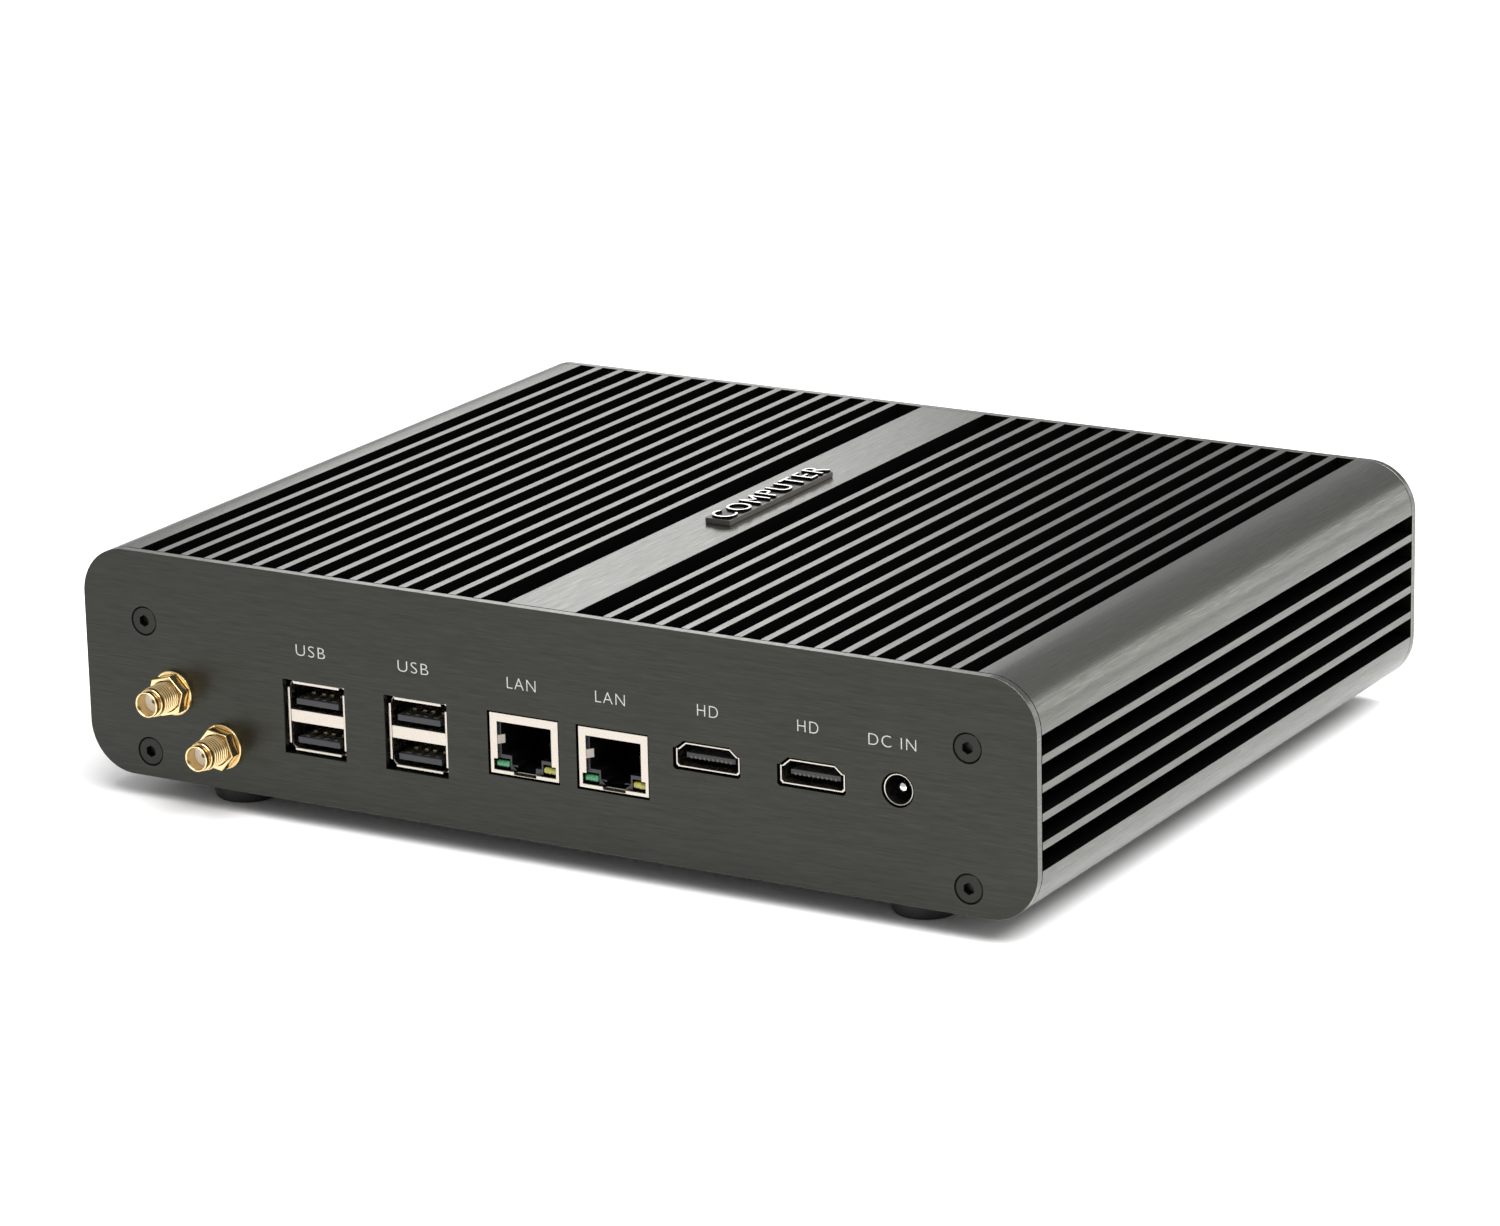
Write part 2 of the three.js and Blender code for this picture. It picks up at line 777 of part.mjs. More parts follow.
const foot = turned([
  [0, -footHeight],
  [footBaseRadius - 0.5, -footHeight],
  [footBaseRadius, -footHeight + 0.5],
  [footTopRadius, -gap],
  [0, -gap],
], 24).rotateX(Math.PI / 2);
const coverScrew = countersunkScrew(5.2).rotateX(Math.PI / 2);
const boardScrew = panScrew(7.5);
let corner = 1;
for (const x of [-1, 1]) {
  for (const y of [-1, 1]) {
    add(unit, `cover_screw_${corner}`, coverScrew, screwSteel, x * coverScrewX, y * coverScrewY);
    add(unit, `board_screw_${corner}`, boardScrew, screwSteel,
      x * railX, y * boardScrewY, boardUnderside - gap);
    add(unit, `foot_${corner}`, foot, rubber, x * footX, y * (panelFace - footInset));
    corner += 1;
  }
}

usbX.forEach((x, i) => {
  const frame = onPanel(-1, x, boardUnderside);
  add(frame, `usb_shell_${i + 1}`, usbShell(), socketSteel);
  add(frame, `usb_insert_${i + 1}`, usbInsert(gap), greyPlastic);
});
lanX.forEach((x, i) => {
  const frame = onPanel(-1, x, boardUnderside);
  add(frame, `lan_shell_${i + 1}`, lanShell(), socketSteel);
  add(frame, `lan_housing_${i + 1}`, lanHousing(), blackPlastic);
});
displayX.forEach((x, i) => {
  const frame = onPanel(-1, x, boardUnderside);
  add(frame, `display_shell_${i + 1}`, displayShell(), socketSteel);
  add(frame, `display_insert_${i + 1}`, displayInsert(), blackPlastic);
});
const inletFrame = onPanel(-1, inletX, boardUnderside);
add(inletFrame, 'power_inlet', powerInlet(), blackPlastic);
add(inletFrame, 'power_inlet_pin', inletPin(), chrome);

antennaPlaces.forEach(([x, z], i) => {
  const frame = onPanel(-1, x, z);
  const nutRadius = antenna.nutFlats / Math.sqrt(3);
  add(frame, `antenna_socket_${i + 1}`, antennaSocket(), gold);
  add(frame, `antenna_washer_${i + 1}`, ringRoundThread(antenna.washer, 20, -0.9, -gap), gold);
  const nut = ringRoundThread(nutRadius, 6, -3.4, -1.1).rotateY((nutTurns[i] * Math.PI) / 180);
  add(frame, `antenna_nut_${i + 1}`, nut, gold);
});

frontUsbX.forEach((x, i) => {
  const frame = onPanel(1, x, boardUnderside);
  add(frame, `front_usb_socket_${i + 1}`, join(usbShell(), usbInsert(-0.1)), socketSteel);
});

const buttonFrame = onPanel(1, buttonX, buttonHeight);
add(buttonFrame, 'power_button', powerButton(), buttonMetal);
add(buttonFrame, 'power_button_ring', buttonRing(), lightPlastic);
const switchBody = box([-3.5, 3.5], [10.8, 16], [-3.5, boardUnderside - buttonHeight - gap]);
add(buttonFrame, 'power_switch', switchBody, blackPlastic);

add(unit, 'mainboard', mainboard(), boardLaminate);
add(unit, 'processor', box([-21, 21], [-14, 14], [boardTop + gap, boardTop + 1.6]), greyPlastic);
add(unit, 'heat_block', box([-32, 32], [-28, 28], [boardTop + 1.6 + gap, ceiling - gap]), blockMetal);
add(unit, 'memory_socket', memorySocket(), blackPlastic, 38, -15, boardUnderside);
add(unit, 'memory_module', memoryModule(), boardLaminate, 38, -15, boardUnderside);
const storage = card(60, [[0, 20, 14, 18], [0, 44, 14, 18]]);
add(unit, 'storage_card', storage, boardLaminate, -22, -12, boardUnderside);
const wireless = card(30, [[0, 14, 16, 15]]);
add(unit, 'wireless_card', wireless, boardLaminate, -56, 5, boardUnderside);
const battery = turned([[0, -4.6], [10, -4.6], [10, -gap], [0, -gap]], 24).rotateX(Math.PI / 2);
add(unit, 'clock_battery', battery, socketSteel, 62, 48, boardUnderside);

// Each lead runs from the back of its antenna socket to the side of the wireless card's chip.
const leadRadius = 0.65;
const leadStart = -panelFace + antenna.crimpEnd + gap;
const leadEnd = boardUnderside - 4.4;
const [upperSocket, lowerSocket] = antennaPlaces;
const leadRoutes = [
  [
    [upperSocket[0], leadStart, upperSocket[1]],
    [upperSocket[0], leadStart + 12, upperSocket[1]],
    [-88, -40, 20.5],
    [-84, 0, 21],
    [-76, 20, leadEnd],
    [-70, 23, leadEnd],
    [-64.3, 23, leadEnd],
  ],
  [
    [lowerSocket[0], leadStart, lowerSocket[1]],
    [lowerSocket[0], leadStart + 12, lowerSocket[1]],
    [-79, -45, 14],
    [-80, -15, 19],
    [-76, 10, 21.8],
    [-70, 15, leadEnd],
    [-64.3, 15, leadEnd],
  ],
];
leadRoutes.forEach((route, i) => {
  add(unit, `antenna_lead_${i + 1}`, lead(route, leadRadius, 36), leadJacket);
});

export default computer;
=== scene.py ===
from math import pi, radians, sqrt

import bmesh
import bpy
from mathutils import Matrix, Vector


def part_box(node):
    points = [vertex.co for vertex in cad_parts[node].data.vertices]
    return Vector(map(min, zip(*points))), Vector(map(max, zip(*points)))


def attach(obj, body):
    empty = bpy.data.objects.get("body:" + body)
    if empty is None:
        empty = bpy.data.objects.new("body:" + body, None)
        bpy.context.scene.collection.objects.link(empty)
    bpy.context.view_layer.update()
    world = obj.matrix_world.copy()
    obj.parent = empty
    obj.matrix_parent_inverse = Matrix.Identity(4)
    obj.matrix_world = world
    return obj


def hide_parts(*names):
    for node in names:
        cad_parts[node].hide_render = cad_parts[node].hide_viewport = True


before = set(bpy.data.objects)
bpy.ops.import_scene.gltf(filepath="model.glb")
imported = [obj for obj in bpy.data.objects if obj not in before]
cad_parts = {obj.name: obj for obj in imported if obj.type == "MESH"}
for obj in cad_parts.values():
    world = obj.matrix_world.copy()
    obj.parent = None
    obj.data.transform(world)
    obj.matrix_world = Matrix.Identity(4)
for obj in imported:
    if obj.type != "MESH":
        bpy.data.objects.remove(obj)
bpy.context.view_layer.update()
mm = 0.001

# faces of the frame that the other places are counted from
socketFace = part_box("io_panel")[0].y  # outer face of the socket panel
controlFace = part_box("control_panel")[1].y  # outer face of the panel at the other end
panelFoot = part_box("io_panel")[0].z
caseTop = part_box("heatsink_case")[1].z
print("frame loaded:", len(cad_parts), "nodes")


# camera

view = {
    "right": 581.1 * mm,  # from the middle of the panel
    "back": 904.5 * mm,  # in front of the socket panel's face
    "up": 364.7 * mm,  # above the panel's lower edge
    "heading": 30.45,
    "tilt": 16.455,
    "roll": -1.23,
    "lens": 135.1,
}


def placeCamera():
    data = bpy.data.cameras.new("camera")
    data.lens = view["lens"]
    data.sensor_width = 36
    camera = bpy.data.objects.new("camera", data)
    bpy.context.scene.collection.objects.link(camera)
    stand = (view["right"], socketFace - view["back"], panelFoot + view["up"])
    camera.matrix_world = (
        Matrix.Translation(stand)
        @ Matrix.Rotation(radians(view["heading"]), 4, "Z")
        @ Matrix.Rotation(radians(90 - view["tilt"]), 4, "X")
        @ Matrix.Rotation(radians(view["roll"]), 4, "Z")
    )
    bpy.context.scene.camera = camera


placeCamera()
print("camera placed")


# materials

def startMaterial(name, colour, roughness, metallic=0.0):
    material = bpy.data.materials.new(name)
    material.use_nodes = True
    nodes = material.node_tree.nodes
    shader = nodes["Principled BSDF"]
    shader.inputs["Base Color"].default_value = (*colour, 1)
    shader.inputs["Roughness"].default_value = roughness
    shader.inputs["Metallic"].default_value = metallic
    return material, nodes, material.node_tree.links, shader


def patternOn(nodes, links, scale, detail=3.0, rough=0.55, seed=0.0):
    # noise laid in the object's own metres, stretched by the three scales
    place = nodes.new("ShaderNodeTexCoord")
    mapping = nodes.new("ShaderNodeMapping")
    mapping.inputs["Scale"].default_value = scale
    mapping.inputs["Location"].default_value = (seed, seed * 0.7, seed * 0.4)
    noise = nodes.new("ShaderNodeTexNoise")
    noise.inputs["Scale"].default_value = 1
    noise.inputs["Detail"].default_value = detail
    noise.inputs["Roughness"].default_value = rough
    links.new(place.outputs["Object"], mapping.inputs["Vector"])
    links.new(mapping.outputs["Vector"], noise.inputs["Vector"])
    return noise.outputs["Fac"]


def spread(nodes, links, noise, low, high, fromLow=0.3, fromHigh=0.7):
    # turns a noise value into a number between low and high
    mapRange = nodes.new("ShaderNodeMapRange")
    mapRange.inputs["From Min"].default_value = fromLow
    mapRange.inputs["From Max"].default_value = fromHigh
    mapRange.inputs["To Min"].default_value = low
    mapRange.inputs["To Max"].default_value = high
    links.new(noise, mapRange.inputs["Value"])
    return mapRange.outputs["Result"]


def tint(nodes, links, noise, dark, light, fromLow=0.3, fromHigh=0.7):
    # blends two colours by a noise value
    mix = nodes.new("ShaderNodeMix")
    mix.data_type = "RGBA"
    mix.inputs["A"].default_value = (*dark, 1)
    mix.inputs["B"].default_value = (*light, 1)
    links.new(spread(nodes, links, noise, 0, 1, fromLow, fromHigh), mix.inputs["Factor"])
    return mix.outputs["Result"]


def raiseBy(nodes, links, shader, noise, height, strength):
    bump = nodes.new("ShaderNodeBump")
    bump.inputs["Strength"].default_value = strength
    bump.inputs["Distance"].default_value = height
    links.new(noise, bump.inputs["Height"])
    links.new(bump.outputs["Normal"], shader.inputs["Normal"])


def scaled(colour, factor):
    return tuple(part * factor for part in colour)


# how often each pattern repeats in a metre, and how high its relief stands
pattern = {
    "brushFine": 5200.0,  # across the lines
    "brushFineAlong": 170.0,
    "brushBroad": 2100.0,
    "brushBroadAlong": 60.0,
    "brushShare": 0.65,  # of the fine lines in the mix
    "brushRelief": 0.004 * mm,
    "marks": 420.0,
    "plating": 3500.0,
    "platingRelief": 0.002 * mm,
    "haze": 240.0,
    "mould": 2600.0,
    "mouldRelief": 0.01 * mm,
    "cloud": 900.0,
    "speckle": 5200.0,
    "tracks": (600.0, 90.0, 600.0),
    "trackRelief": 0.03 * mm,
}


def mathNode(nodes, operation, factor):
    node = nodes.new("ShaderNodeMath")
    node.operation = operation
    node.inputs[1].default_value = factor
    return node


def brushedMetal(name, colour, along, roughness, contrast=0.1):
    # fine lines run along one axis: 0 is X and 1 is Y
    material, nodes, links, shader = startMaterial(name, colour, roughness, 1.0)
    fine, broad = [pattern["brushFine"]] * 3, [pattern["brushBroad"]] * 3
    fine[along], broad[along] = pattern["brushFineAlong"], pattern["brushBroadAlong"]
    lines = patternOn(nodes, links, fine, detail=2.0)
    bands = patternOn(nodes, links, broad, detail=3.0, seed=3.1)
    both = mathNode(nodes, "MULTIPLY_ADD", pattern["brushShare"])
    rest = mathNode(nodes, "MULTIPLY", 1 - pattern["brushShare"])
    links.new(lines, both.inputs[0])
    links.new(bands, rest.inputs[0])
    links.new(rest.outputs[0], both.inputs[2])
    grain = both.outputs[0]
    dark, light = scaled(colour, 1 - contrast), scaled(colour, 1 + contrast)
    links.new(tint(nodes, links, grain, dark, light, 0.36, 0.64), shader.inputs["Base Color"])
    gloss = spread(nodes, links, grain, roughness + 0.05, roughness - 0.05)
    links.new(gloss, shader.inputs["Roughness"])
    raiseBy(nodes, links, shader, lines, pattern["brushRelief"], 0.5)
    return material


def platedMetal(name, colour, roughness, smudge=0.05):
    # bright plating, with faint handling marks
    material, nodes, links, shader = startMaterial(name, colour, roughness, 1.0)
    marks = patternOn(nodes, links, [pattern["marks"]] * 3, detail=4.0)
    gloss = spread(nodes, links, marks, roughness - smudge, roughness + smudge)
    links.new(gloss, shader.inputs["Roughness"])
    links.new(tint(nodes, links, marks, scaled(colour, 0.93), colour), shader.inputs["Base Color"])
    grain = patternOn(nodes, links, [pattern["plating"]] * 3, detail=2.0, seed=1.7)
    raiseBy(nodes, links, shader, grain, pattern["platingRelief"], 0.25)
    return material


def mouldedPlastic(
    name, colour, roughness, grain=pattern["mould"], height=pattern["mouldRelief"], gloss=0.5,
):
    material, nodes, links, shader = startMaterial(name, colour, roughness)
    shader.inputs["Specular IOR Level"].default_value = gloss
    texture = patternOn(nodes, links, (grain, grain, grain), detail=2.0)
    haze = patternOn(nodes, links, [pattern["haze"]] * 3, detail=3.0, seed=2.3)
    links.new(spread(nodes, links, haze, roughness - 0.06, roughness + 0.06), shader.inputs["Roughness"])
    shades = tint(nodes, links, haze, scaled(colour, 0.85), scaled(colour, 1.1))
    links.new(shades, shader.inputs["Base Color"])
    raiseBy(nodes, links, shader, texture, height, 0.35)
    return material


def lensPlastic(name, colour):
    # clear tinted plastic over a lamp that is off
    material, nodes, links, shader = startMaterial(name, colour, 0.22)
    shader.inputs["Coat Weight"].default_value = 0.6
    shader.inputs["Coat Roughness"].default_value = 0.08
    cloud = patternOn(nodes, links, [pattern["cloud"]] * 3, detail=2.0)
    shades = tint(nodes, links, cloud, scaled(colour, 0.75), scaled(colour, 1.2))
    links.new(shades, shader.inputs["Base Color"])
    return material


def printedInk(name, colour):
    material, nodes, links, shader = startMaterial(name, colour, 0.5)
    speckle = patternOn(nodes, links, [pattern["speckle"]] * 3, detail=2.0)
    links.new(tint(nodes, links, speckle, scaled(colour, 0.86), colour), shader.inputs["Base Color"])
    return material


def circuitLaminate(name, resist, copper):
    # green resist over copper tracks
    material, nodes, links, shader = startMaterial(name, resist, 0.35)
    tracks = patternOn(nodes, links, pattern["tracks"], detail=1.0, rough=0.2)
    links.new(tint(nodes, links, tracks, resist, copper, 0.48, 0.52), shader.inputs["Base Color"])
    raiseBy(nodes, links, shader, tracks, pattern["trackRelief"], 0.3)
    return material


finish = {
    "case": brushedMetal("case anodised", (0.112, 0.1125, 0.102), 1, 0.3, contrast=0.18),
    # painted shade: near-black for the groove walls and floors, where shade falls
    "groove": mouldedPlastic("groove painted shade", (0.0007, 0.0007, 0.0007), 0.75, gloss=0.02),
    "panel": brushedMetal("panel anodised", (0.0378, 0.0383, 0.0334), 0, 0.34, contrast=0.14),
    # painted highlight along the end panels' outline
    "edge": platedMetal("painted edge highlight", (0.3, 0.3, 0.29), 0.3),
    "cover": mouldedPlastic("cover paint", (0.016, 0.016, 0.016), 0.5, grain=1800.0),
    "screw": platedMetal("black oxide", (0.033, 0.033, 0.029), 0.42),
    "nickel": platedMetal("nickel plate", (0.52, 0.475, 0.42), 0.28),
    "spring": platedMetal("spring metal", (0.32, 0.29, 0.26), 0.36),
    "chrome": platedMetal("polished plate", (0.9, 0.9, 0.89), 0.12, 0.03),
    # the plate's own dark ground, also used as painted shade on the letters' sides
    "plateBase": platedMetal("dark plate", (0.02, 0.018, 0.017), 0.35),
    # painted highlight for the nameplate's sides and edges
    "plateSide": platedMetal("plate edge painted highlight", (0.2, 0.185, 0.17), 0.34),
    "letter": platedMetal("plate letters", (0.95, 0.93, 0.9), 0.34),
    "gold": platedMetal("gold plate", (0.80, 0.61, 0.32), 0.2),
    # painted shade for the thread roots
    "goldShade": platedMetal("gold painted shade", (0.3, 0.2, 0.08), 0.4),
    "contact": platedMetal("contact gold", (0.42, 0.36, 0.26), 0.4),
    # painted shade: a darkened metal for the contacts deep in the display sockets
    "contactShade": platedMetal("contact painted shade", (0.13, 0.12, 0.1), 0.45),
    "black": mouldedPlastic("black moulding", (0.002, 0.002, 0.0021), 0.5, gloss=0.3),
    # painted shade: a near-black for countersinks and the depths of sockets, where shade falls
    "void": mouldedPlastic("painted shade black", (0.0012, 0.0012, 0.0013), 0.7, gloss=0.08),
    "grey": mouldedPlastic("grey moulding", (0.022, 0.023, 0.026), 0.5),
    "white": mouldedPlastic("white insulator", (0.82, 0.80, 0.76), 0.42),
    "rubber": mouldedPlastic("foot rubber", (0.013, 0.013, 0.012), 0.72, 1500.0, 0.03 * mm),
    "ink": printedInk("label ink", (0.5, 0.5, 0.48)),
    "green": lensPlastic("green lens", (0.022, 0.17, 0.065)),
    "yellow": lensPlastic("yellow lens", (0.30, 0.28, 0.035)),
    "milky": lensPlastic("light ring", (0.36, 0.45, 0.56)),
    "button": platedMetal("turned aluminium", (0.55, 0.55, 0.55), 0.3),
    "block": platedMetal("milled aluminium", (0.7, 0.7, 0.7), 0.35),
    "circuit": circuitLaminate("circuit laminate", (0.012, 0.075, 0.03), (0.03, 0.13, 0.05)),
    "chip": mouldedPlastic("chip package", (0.03, 0.03, 0.033), 0.4),
    "lead": mouldedPlastic("lead jacket", (0.01, 0.01, 0.01), 0.5),
}
print("materials ready:", len(finish))


# ways to shape and hand over a piece

def inMesh(bm, name):
    mesh = bpy.data.meshes.new(name)
    bm.to_mesh(mesh)
    bm.free()
    return mesh


def asPiece(bm, name, kinds, replaces=(), body="computer", sharp=35):
    # kinds: one or more names of finishes, in the order of the faces' material numbers
    mesh = inMesh(bm, name)
    mesh.shade_smooth()
    mesh.set_sharp_from_angle(angle=radians(sharp))
    for kind in kinds.split():
        mesh.materials.append(finish[kind])
    piece = bpy.data.objects.new(name, mesh)
    bpy.context.scene.collection.objects.link(piece)
    shading = piece.modifiers.new("flat faces stay flat", "WEIGHTED_NORMAL")
    shading.keep_sharp = True
    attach(piece, body)
    if replaces:
        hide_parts(*replaces)


def soften(bm, width, segments=2, above=30):
    # rounds every edge that turns by more than the angle
    picked = [e for e in bm.edges if e.calc_face_angle(0) > radians(above)]
    bmesh.ops.bevel(
        bm, geom=picked, offset=width, offset_type="OFFSET", segments=segments,
        profile=0.5, affect="EDGES", material=-1, clamp_overlap=True,
    )


def copyOfNode(node, rounding):
    bm = bmesh.new()
    bm.from_mesh(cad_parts[node].data)
    bmesh.ops.remove_doubles(bm, verts=bm.verts[:], dist=0.004 * mm)
    bmesh.ops.dissolve_limit(bm, angle_limit=radians(0.4), verts=bm.verts[:], edges=bm.edges[:])
    soften(bm, rounding)
    return bm


def addBlock(bm, low, high, rounding=0.0, segments=2):
    made = bmesh.ops.create_cube(bm, size=1)["verts"]
    low, high = Vector(low), Vector(high)
    bmesh.ops.scale(bm, vec=high - low, verts=made)
    bmesh.ops.translate(bm, vec=(low + high) / 2, verts=made)
    if rounding:
        edges = list({e for v in made for e in v.link_edges})
        bmesh.ops.bevel(
            bm, geom=edges, offset=rounding, offset_type="OFFSET", segments=segments,
            profile=0.5, affect="EDGES", material=-1, clamp_overlap=True,
        )


def addSpun(bm, profile, steps=48, closed=False, axis="Y"):
    # profile: pairs of radius and place along the axis
    along = Vector((0, 1, 0)) if axis == "Y" else Vector((0, 0, 1))
    verts = [bm.verts.new(along * place + Vector((radius, 0, 0))) for radius, place in profile]
    pairs = list(zip(verts, verts[1:] + verts[:1] if closed else verts[1:]))
    edges = [bm.edges.new(pair) for pair in pairs]
    bmesh.ops.spin(
        bm, geom=verts + edges, cent=(0, 0, 0), axis=along, dvec=(0, 0, 0),
        angle=2 * pi, steps=steps, use_merge=True, use_duplicate=False,
    )
    bmesh.ops.remove_doubles(bm, verts=bm.verts[:], dist=0.002 * mm)
    bmesh.ops.recalc_face_normals(bm, faces=bm.faces[:])


def shift(bm, place):
    bmesh.ops.transform(bm, matrix=place, verts=bm.verts[:])
    return bm


def paintShadeBehind(bm, depth):
    # painted shade: faces deeper than this behind the socket panel's face take the second finish
    for face in bm.faces:
        face.material_index = 0 if face.calc_center_median().y < socketFace + depth else 1


def evenRow(count, pitch):
    # places along X, centred on zero
    return [(number - (count - 1) / 2) * pitch for number in range(count)]


def onPanel(node, side):
    # a frame with x centred on the node, y running inwards from the panel's face and z up from
    # the node's lowest point, with the node's size and how far behind the face it starts
    low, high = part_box(node)
    middle = (low.x + high.x) / 2
    if side == "socket":
        return Matrix.Translation((middle, socketFace, low.z)), high - low, low.y - socketFace
    turned = Matrix.Translation((middle, controlFace, low.z)) @ Matrix.Rotation(pi, 4, "Z")
    return turned, high - low, controlFace - high.y


def onAxis(node, side):
    # the same frame, with z on the node's own axis
    place, size, front = onPanel(node, side)
    return place @ Matrix.Translation((0, 0, size.z / 2)), size, front


# case, cover and end panels

shell = {
    "finRound": 0.16 * mm,
    "panelRound": 0.22 * mm,
    "coverRound": 0.3 * mm,
    "corner": 10.6 * mm,
    "sinkArea": 0.15 * mm * mm,  # a face of a countersink is larger than one of a rounded edge
    "skin": 0.35 * mm,  # faces deeper than this belong to the grooves
}


def depthInside(point, low, high, corner):
    # how far a point lies inside the case's rounded outline, seen along Y
    middle, half = (low + high) / 2, (high - low) / 2
    across = max(0, abs(point.x - middle.x) - half.x + corner)
    upright = max(0, abs(point.z - middle.z) - half.z + corner)
    if across and upright:
        return corner - sqrt(across * across + upright * upright)
    return min(half.x - abs(point.x - middle.x), half.z - abs(point.z - middle.z))


def makeCase():
    # the outside is brushed, and the grooves take a near-black painted shade
    bm = copyOfNode("heatsink_case", shell["finRound"])
    low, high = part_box("heatsink_case")
    for face in bm.faces:
        depth = depthInside(face.calc_center_median(), low, high, shell["corner"])
        face.material_index = 1 if depth > shell["skin"] else 0
    asPiece(bm, "finned_case", "case groove", ["heatsink_case"])


def makePanels():
    for node, name in (("io_panel", "socket_panel"), ("control_panel", "far_panel")):
        bm = copyOfNode(node, shell["panelRound"])
        low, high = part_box(node)
        for face in bm.faces:
            slope = abs(face.normal.y)
            rim = depthInside(face.calc_center_median(), low, high, shell["corner"]) < shell["skin"]
            if rim:
                # painted highlight: the side faces take a bright metal and the rounded front rim the
                # case's finish, so the outline reads as a light line
                face.material_index = 1 if slope < 0.3 else 2
            elif 0.6 < slope < 0.8 and face.calc_area() > shell["sinkArea"]:
                # painted shade: the countersinks take the near-black, standing in for the shadowed gap
                # around the screw heads
                face.material_index = 3
        asPiece(bm, name, "panel case edge void", [node])
    bm = copyOfNode("bottom_cover", shell["coverRound"])
    asPiece(bm, "base_cover", "cover", ["bottom_cover"])


makeCase()
makePanels()
print("case, panels and cover made")


# screws and feet

screw = {
    "head": 2.9 * mm,
    "shank": 1.5 * mm,
    "hex": 1.3 * mm,
    "recess": 1.4 * mm,
    "edge": 0.12 * mm,
    "land": 0.25 * mm,  # straight part of the head
    "tip": 0.4 * mm,
}
foot = {
    "taper": 0.7 * mm,
    "hollow": 0.35 * mm,  # how far the middle of the sole is raised
    "rim": 2.6 * mm,  # this and the next four are counted in from the foot's side
    "rimInner": 2.3 * mm,
    "rimOuter": 0.9 * mm,
    "curve": 0.45 * mm,
    "curveEnd": 0.12 * mm,
    "shoulder": 0.5 * mm,
}


def screwBody(length):
    # a countersunk screw along +Y, its flat head at y = 0, with a six-sided recess
    bm = bmesh.new()
    head, shank, land, tip = screw["head"], screw["shank"], screw["land"], screw["tip"]
    addSpun(bm, [
        (head - screw["edge"], 0),
        (head, screw["edge"]),
        (head, land),
        (shank, land + head - shank),
        (shank, length - tip),
        (shank - tip, length),
        (0, length),
    ], steps=40)
    rim = [e for e in bm.edges if e.is_boundary]
    recess = bmesh.ops.create_circle(bm, segments=6, radius=screw["hex"])["verts"]
    bmesh.ops.rotate(bm, matrix=Matrix.Rotation(pi / 2, 3, "X"), verts=recess)
    mouth = list({e for v in recess for e in v.link_edges})
    bmesh.ops.triangle_fill(bm, edges=rim + mouth, use_beauty=True, use_dissolve=True, normal=(0, -1, 0))
    sunk = bmesh.ops.extrude_edge_only(bm, edges=mouth)["geom"]
    floor = [v for v in sunk if isinstance(v, bmesh.types.BMVert)]
    bmesh.ops.translate(bm, vec=(0, screw["recess"], 0), verts=floor)
    bmesh.ops.contextual_create(bm, geom=[e for e in sunk if isinstance(e, bmesh.types.BMEdge)])
    bmesh.ops.recalc_face_normals(bm, faces=bm.faces[:])
    return bm


def makeScrews():
    for panel, side in (("io", "socket"), ("control", "control")):
        for number in range(1, 5):
            node = f"{panel}_panel_screw_{number}"
            place, size, front = onAxis(node, side)
            bm = shift(screwBody(size.y), place @ Matrix.Translation((0, front, 0)))
            asPiece(bm, f"{node}_finished", "screw", [node], sharp=30)
    for number in range(1, 5):
        node = f"cover_screw_{number}"
        low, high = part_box(node)
        bm = screwBody(high.z - low.z)
        place = Matrix.Translation(((low.x + high.x) / 2, (low.y + high.y) / 2, low.z))
        shift(bm, place @ Matrix.Rotation(pi / 2, 4, "X"))
        asPiece(bm, f"{node}_finished", "screw", [node], sharp=30)


def makeFeet():
    for number in range(1, 5):
        node = f"foot_{number}"
        low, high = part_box(node)
        top, tall = (high.x - low.x) / 2, high.z - low.z
        base = top - foot["taper"]
        bm = bmesh.new()
        addSpun(bm, [
            (0, foot["hollow"]),
            (base - foot["rim"], 0.3 * mm),
            (base - foot["rimInner"], 0),
            (base - foot["rimOuter"], 0),
            (base - foot["curve"], foot["curveEnd"]),
            (base - foot["curveEnd"], foot["curve"]),
            (base, foot["rimOuter"]),
            (top - 0.05 * mm, tall - foot["shoulder"]),
            (top - foot["shoulder"] / 2, tall),
            (0, tall),
        ], steps=56, axis="Z")
        shift(bm, Matrix.Translation(((low.x + high.x) / 2, (low.y + high.y) / 2, low.z)))
        asPiece(bm, f"rubber_{node}", "rubber", [node], sharp=40)


makeScrews()
makeFeet()
print("screws and feet made")


# double serial sockets

serial = {
    "lip": 0.68 * mm,
    "lipDepth": 0.6 * mm,
    "lipInset": 1.5 * mm,  # the lips stop short of the corners
    "lipRound": 0.16 * mm,
    "corner": 1.35 * mm,
    "wall": 0.3 * mm,
    "depth": 17 * mm,
    "sleeveTrim": 0.3 * mm,
    "sleeveStart": 1.0 * mm,
    "sleeveEnd": 0.2 * mm,
    "deck": 5.6 * mm,  # height of each opening
    "deckFloor": 0.6 * mm,
    "bridgeStart": 0.12 * mm,  # the bridge parts the two openings
    "bridgeRound": 0.14 * mm,
    "insertTrim": 0.95 * mm,
    "insertStart": 12.4 * mm,
    "insertEnd": 16.5 * mm,
    "insertRound": 0.1 * mm,
    "tongueHalf": 5.2 * mm,
    "tongueStart": 0.4 * mm,
    "tongueLift": 1.1 * mm,
    "tongue": 1.3 * mm,
    "tongueRound": 0.12 * mm,
    "contacts": (-3.5 * mm, -1.0 * mm, 1.0 * mm, 3.5 * mm),
    "contactHalf": 0.5 * mm,
    "strip": (1.4 * mm, 9 * mm),  # where the flat strip starts and ends, behind the front
    "stripRise": 0.1 * mm,
    "bow": (4.2 * mm, 6.6 * mm),
    "bowRise": 0.42 * mm,
}
# side of the case, start of the pieces' names, node of the shell, nodes of the insert
serialSets = (
    ("socket", "serial", "usb_shell", ["usb_insert"]),
    ("control", "far_serial", "front_usb_socket", []),
)


def deckFloors(tall):
    return (serial["deckFloor"], tall - serial["deckFloor"] - serial["deck"])


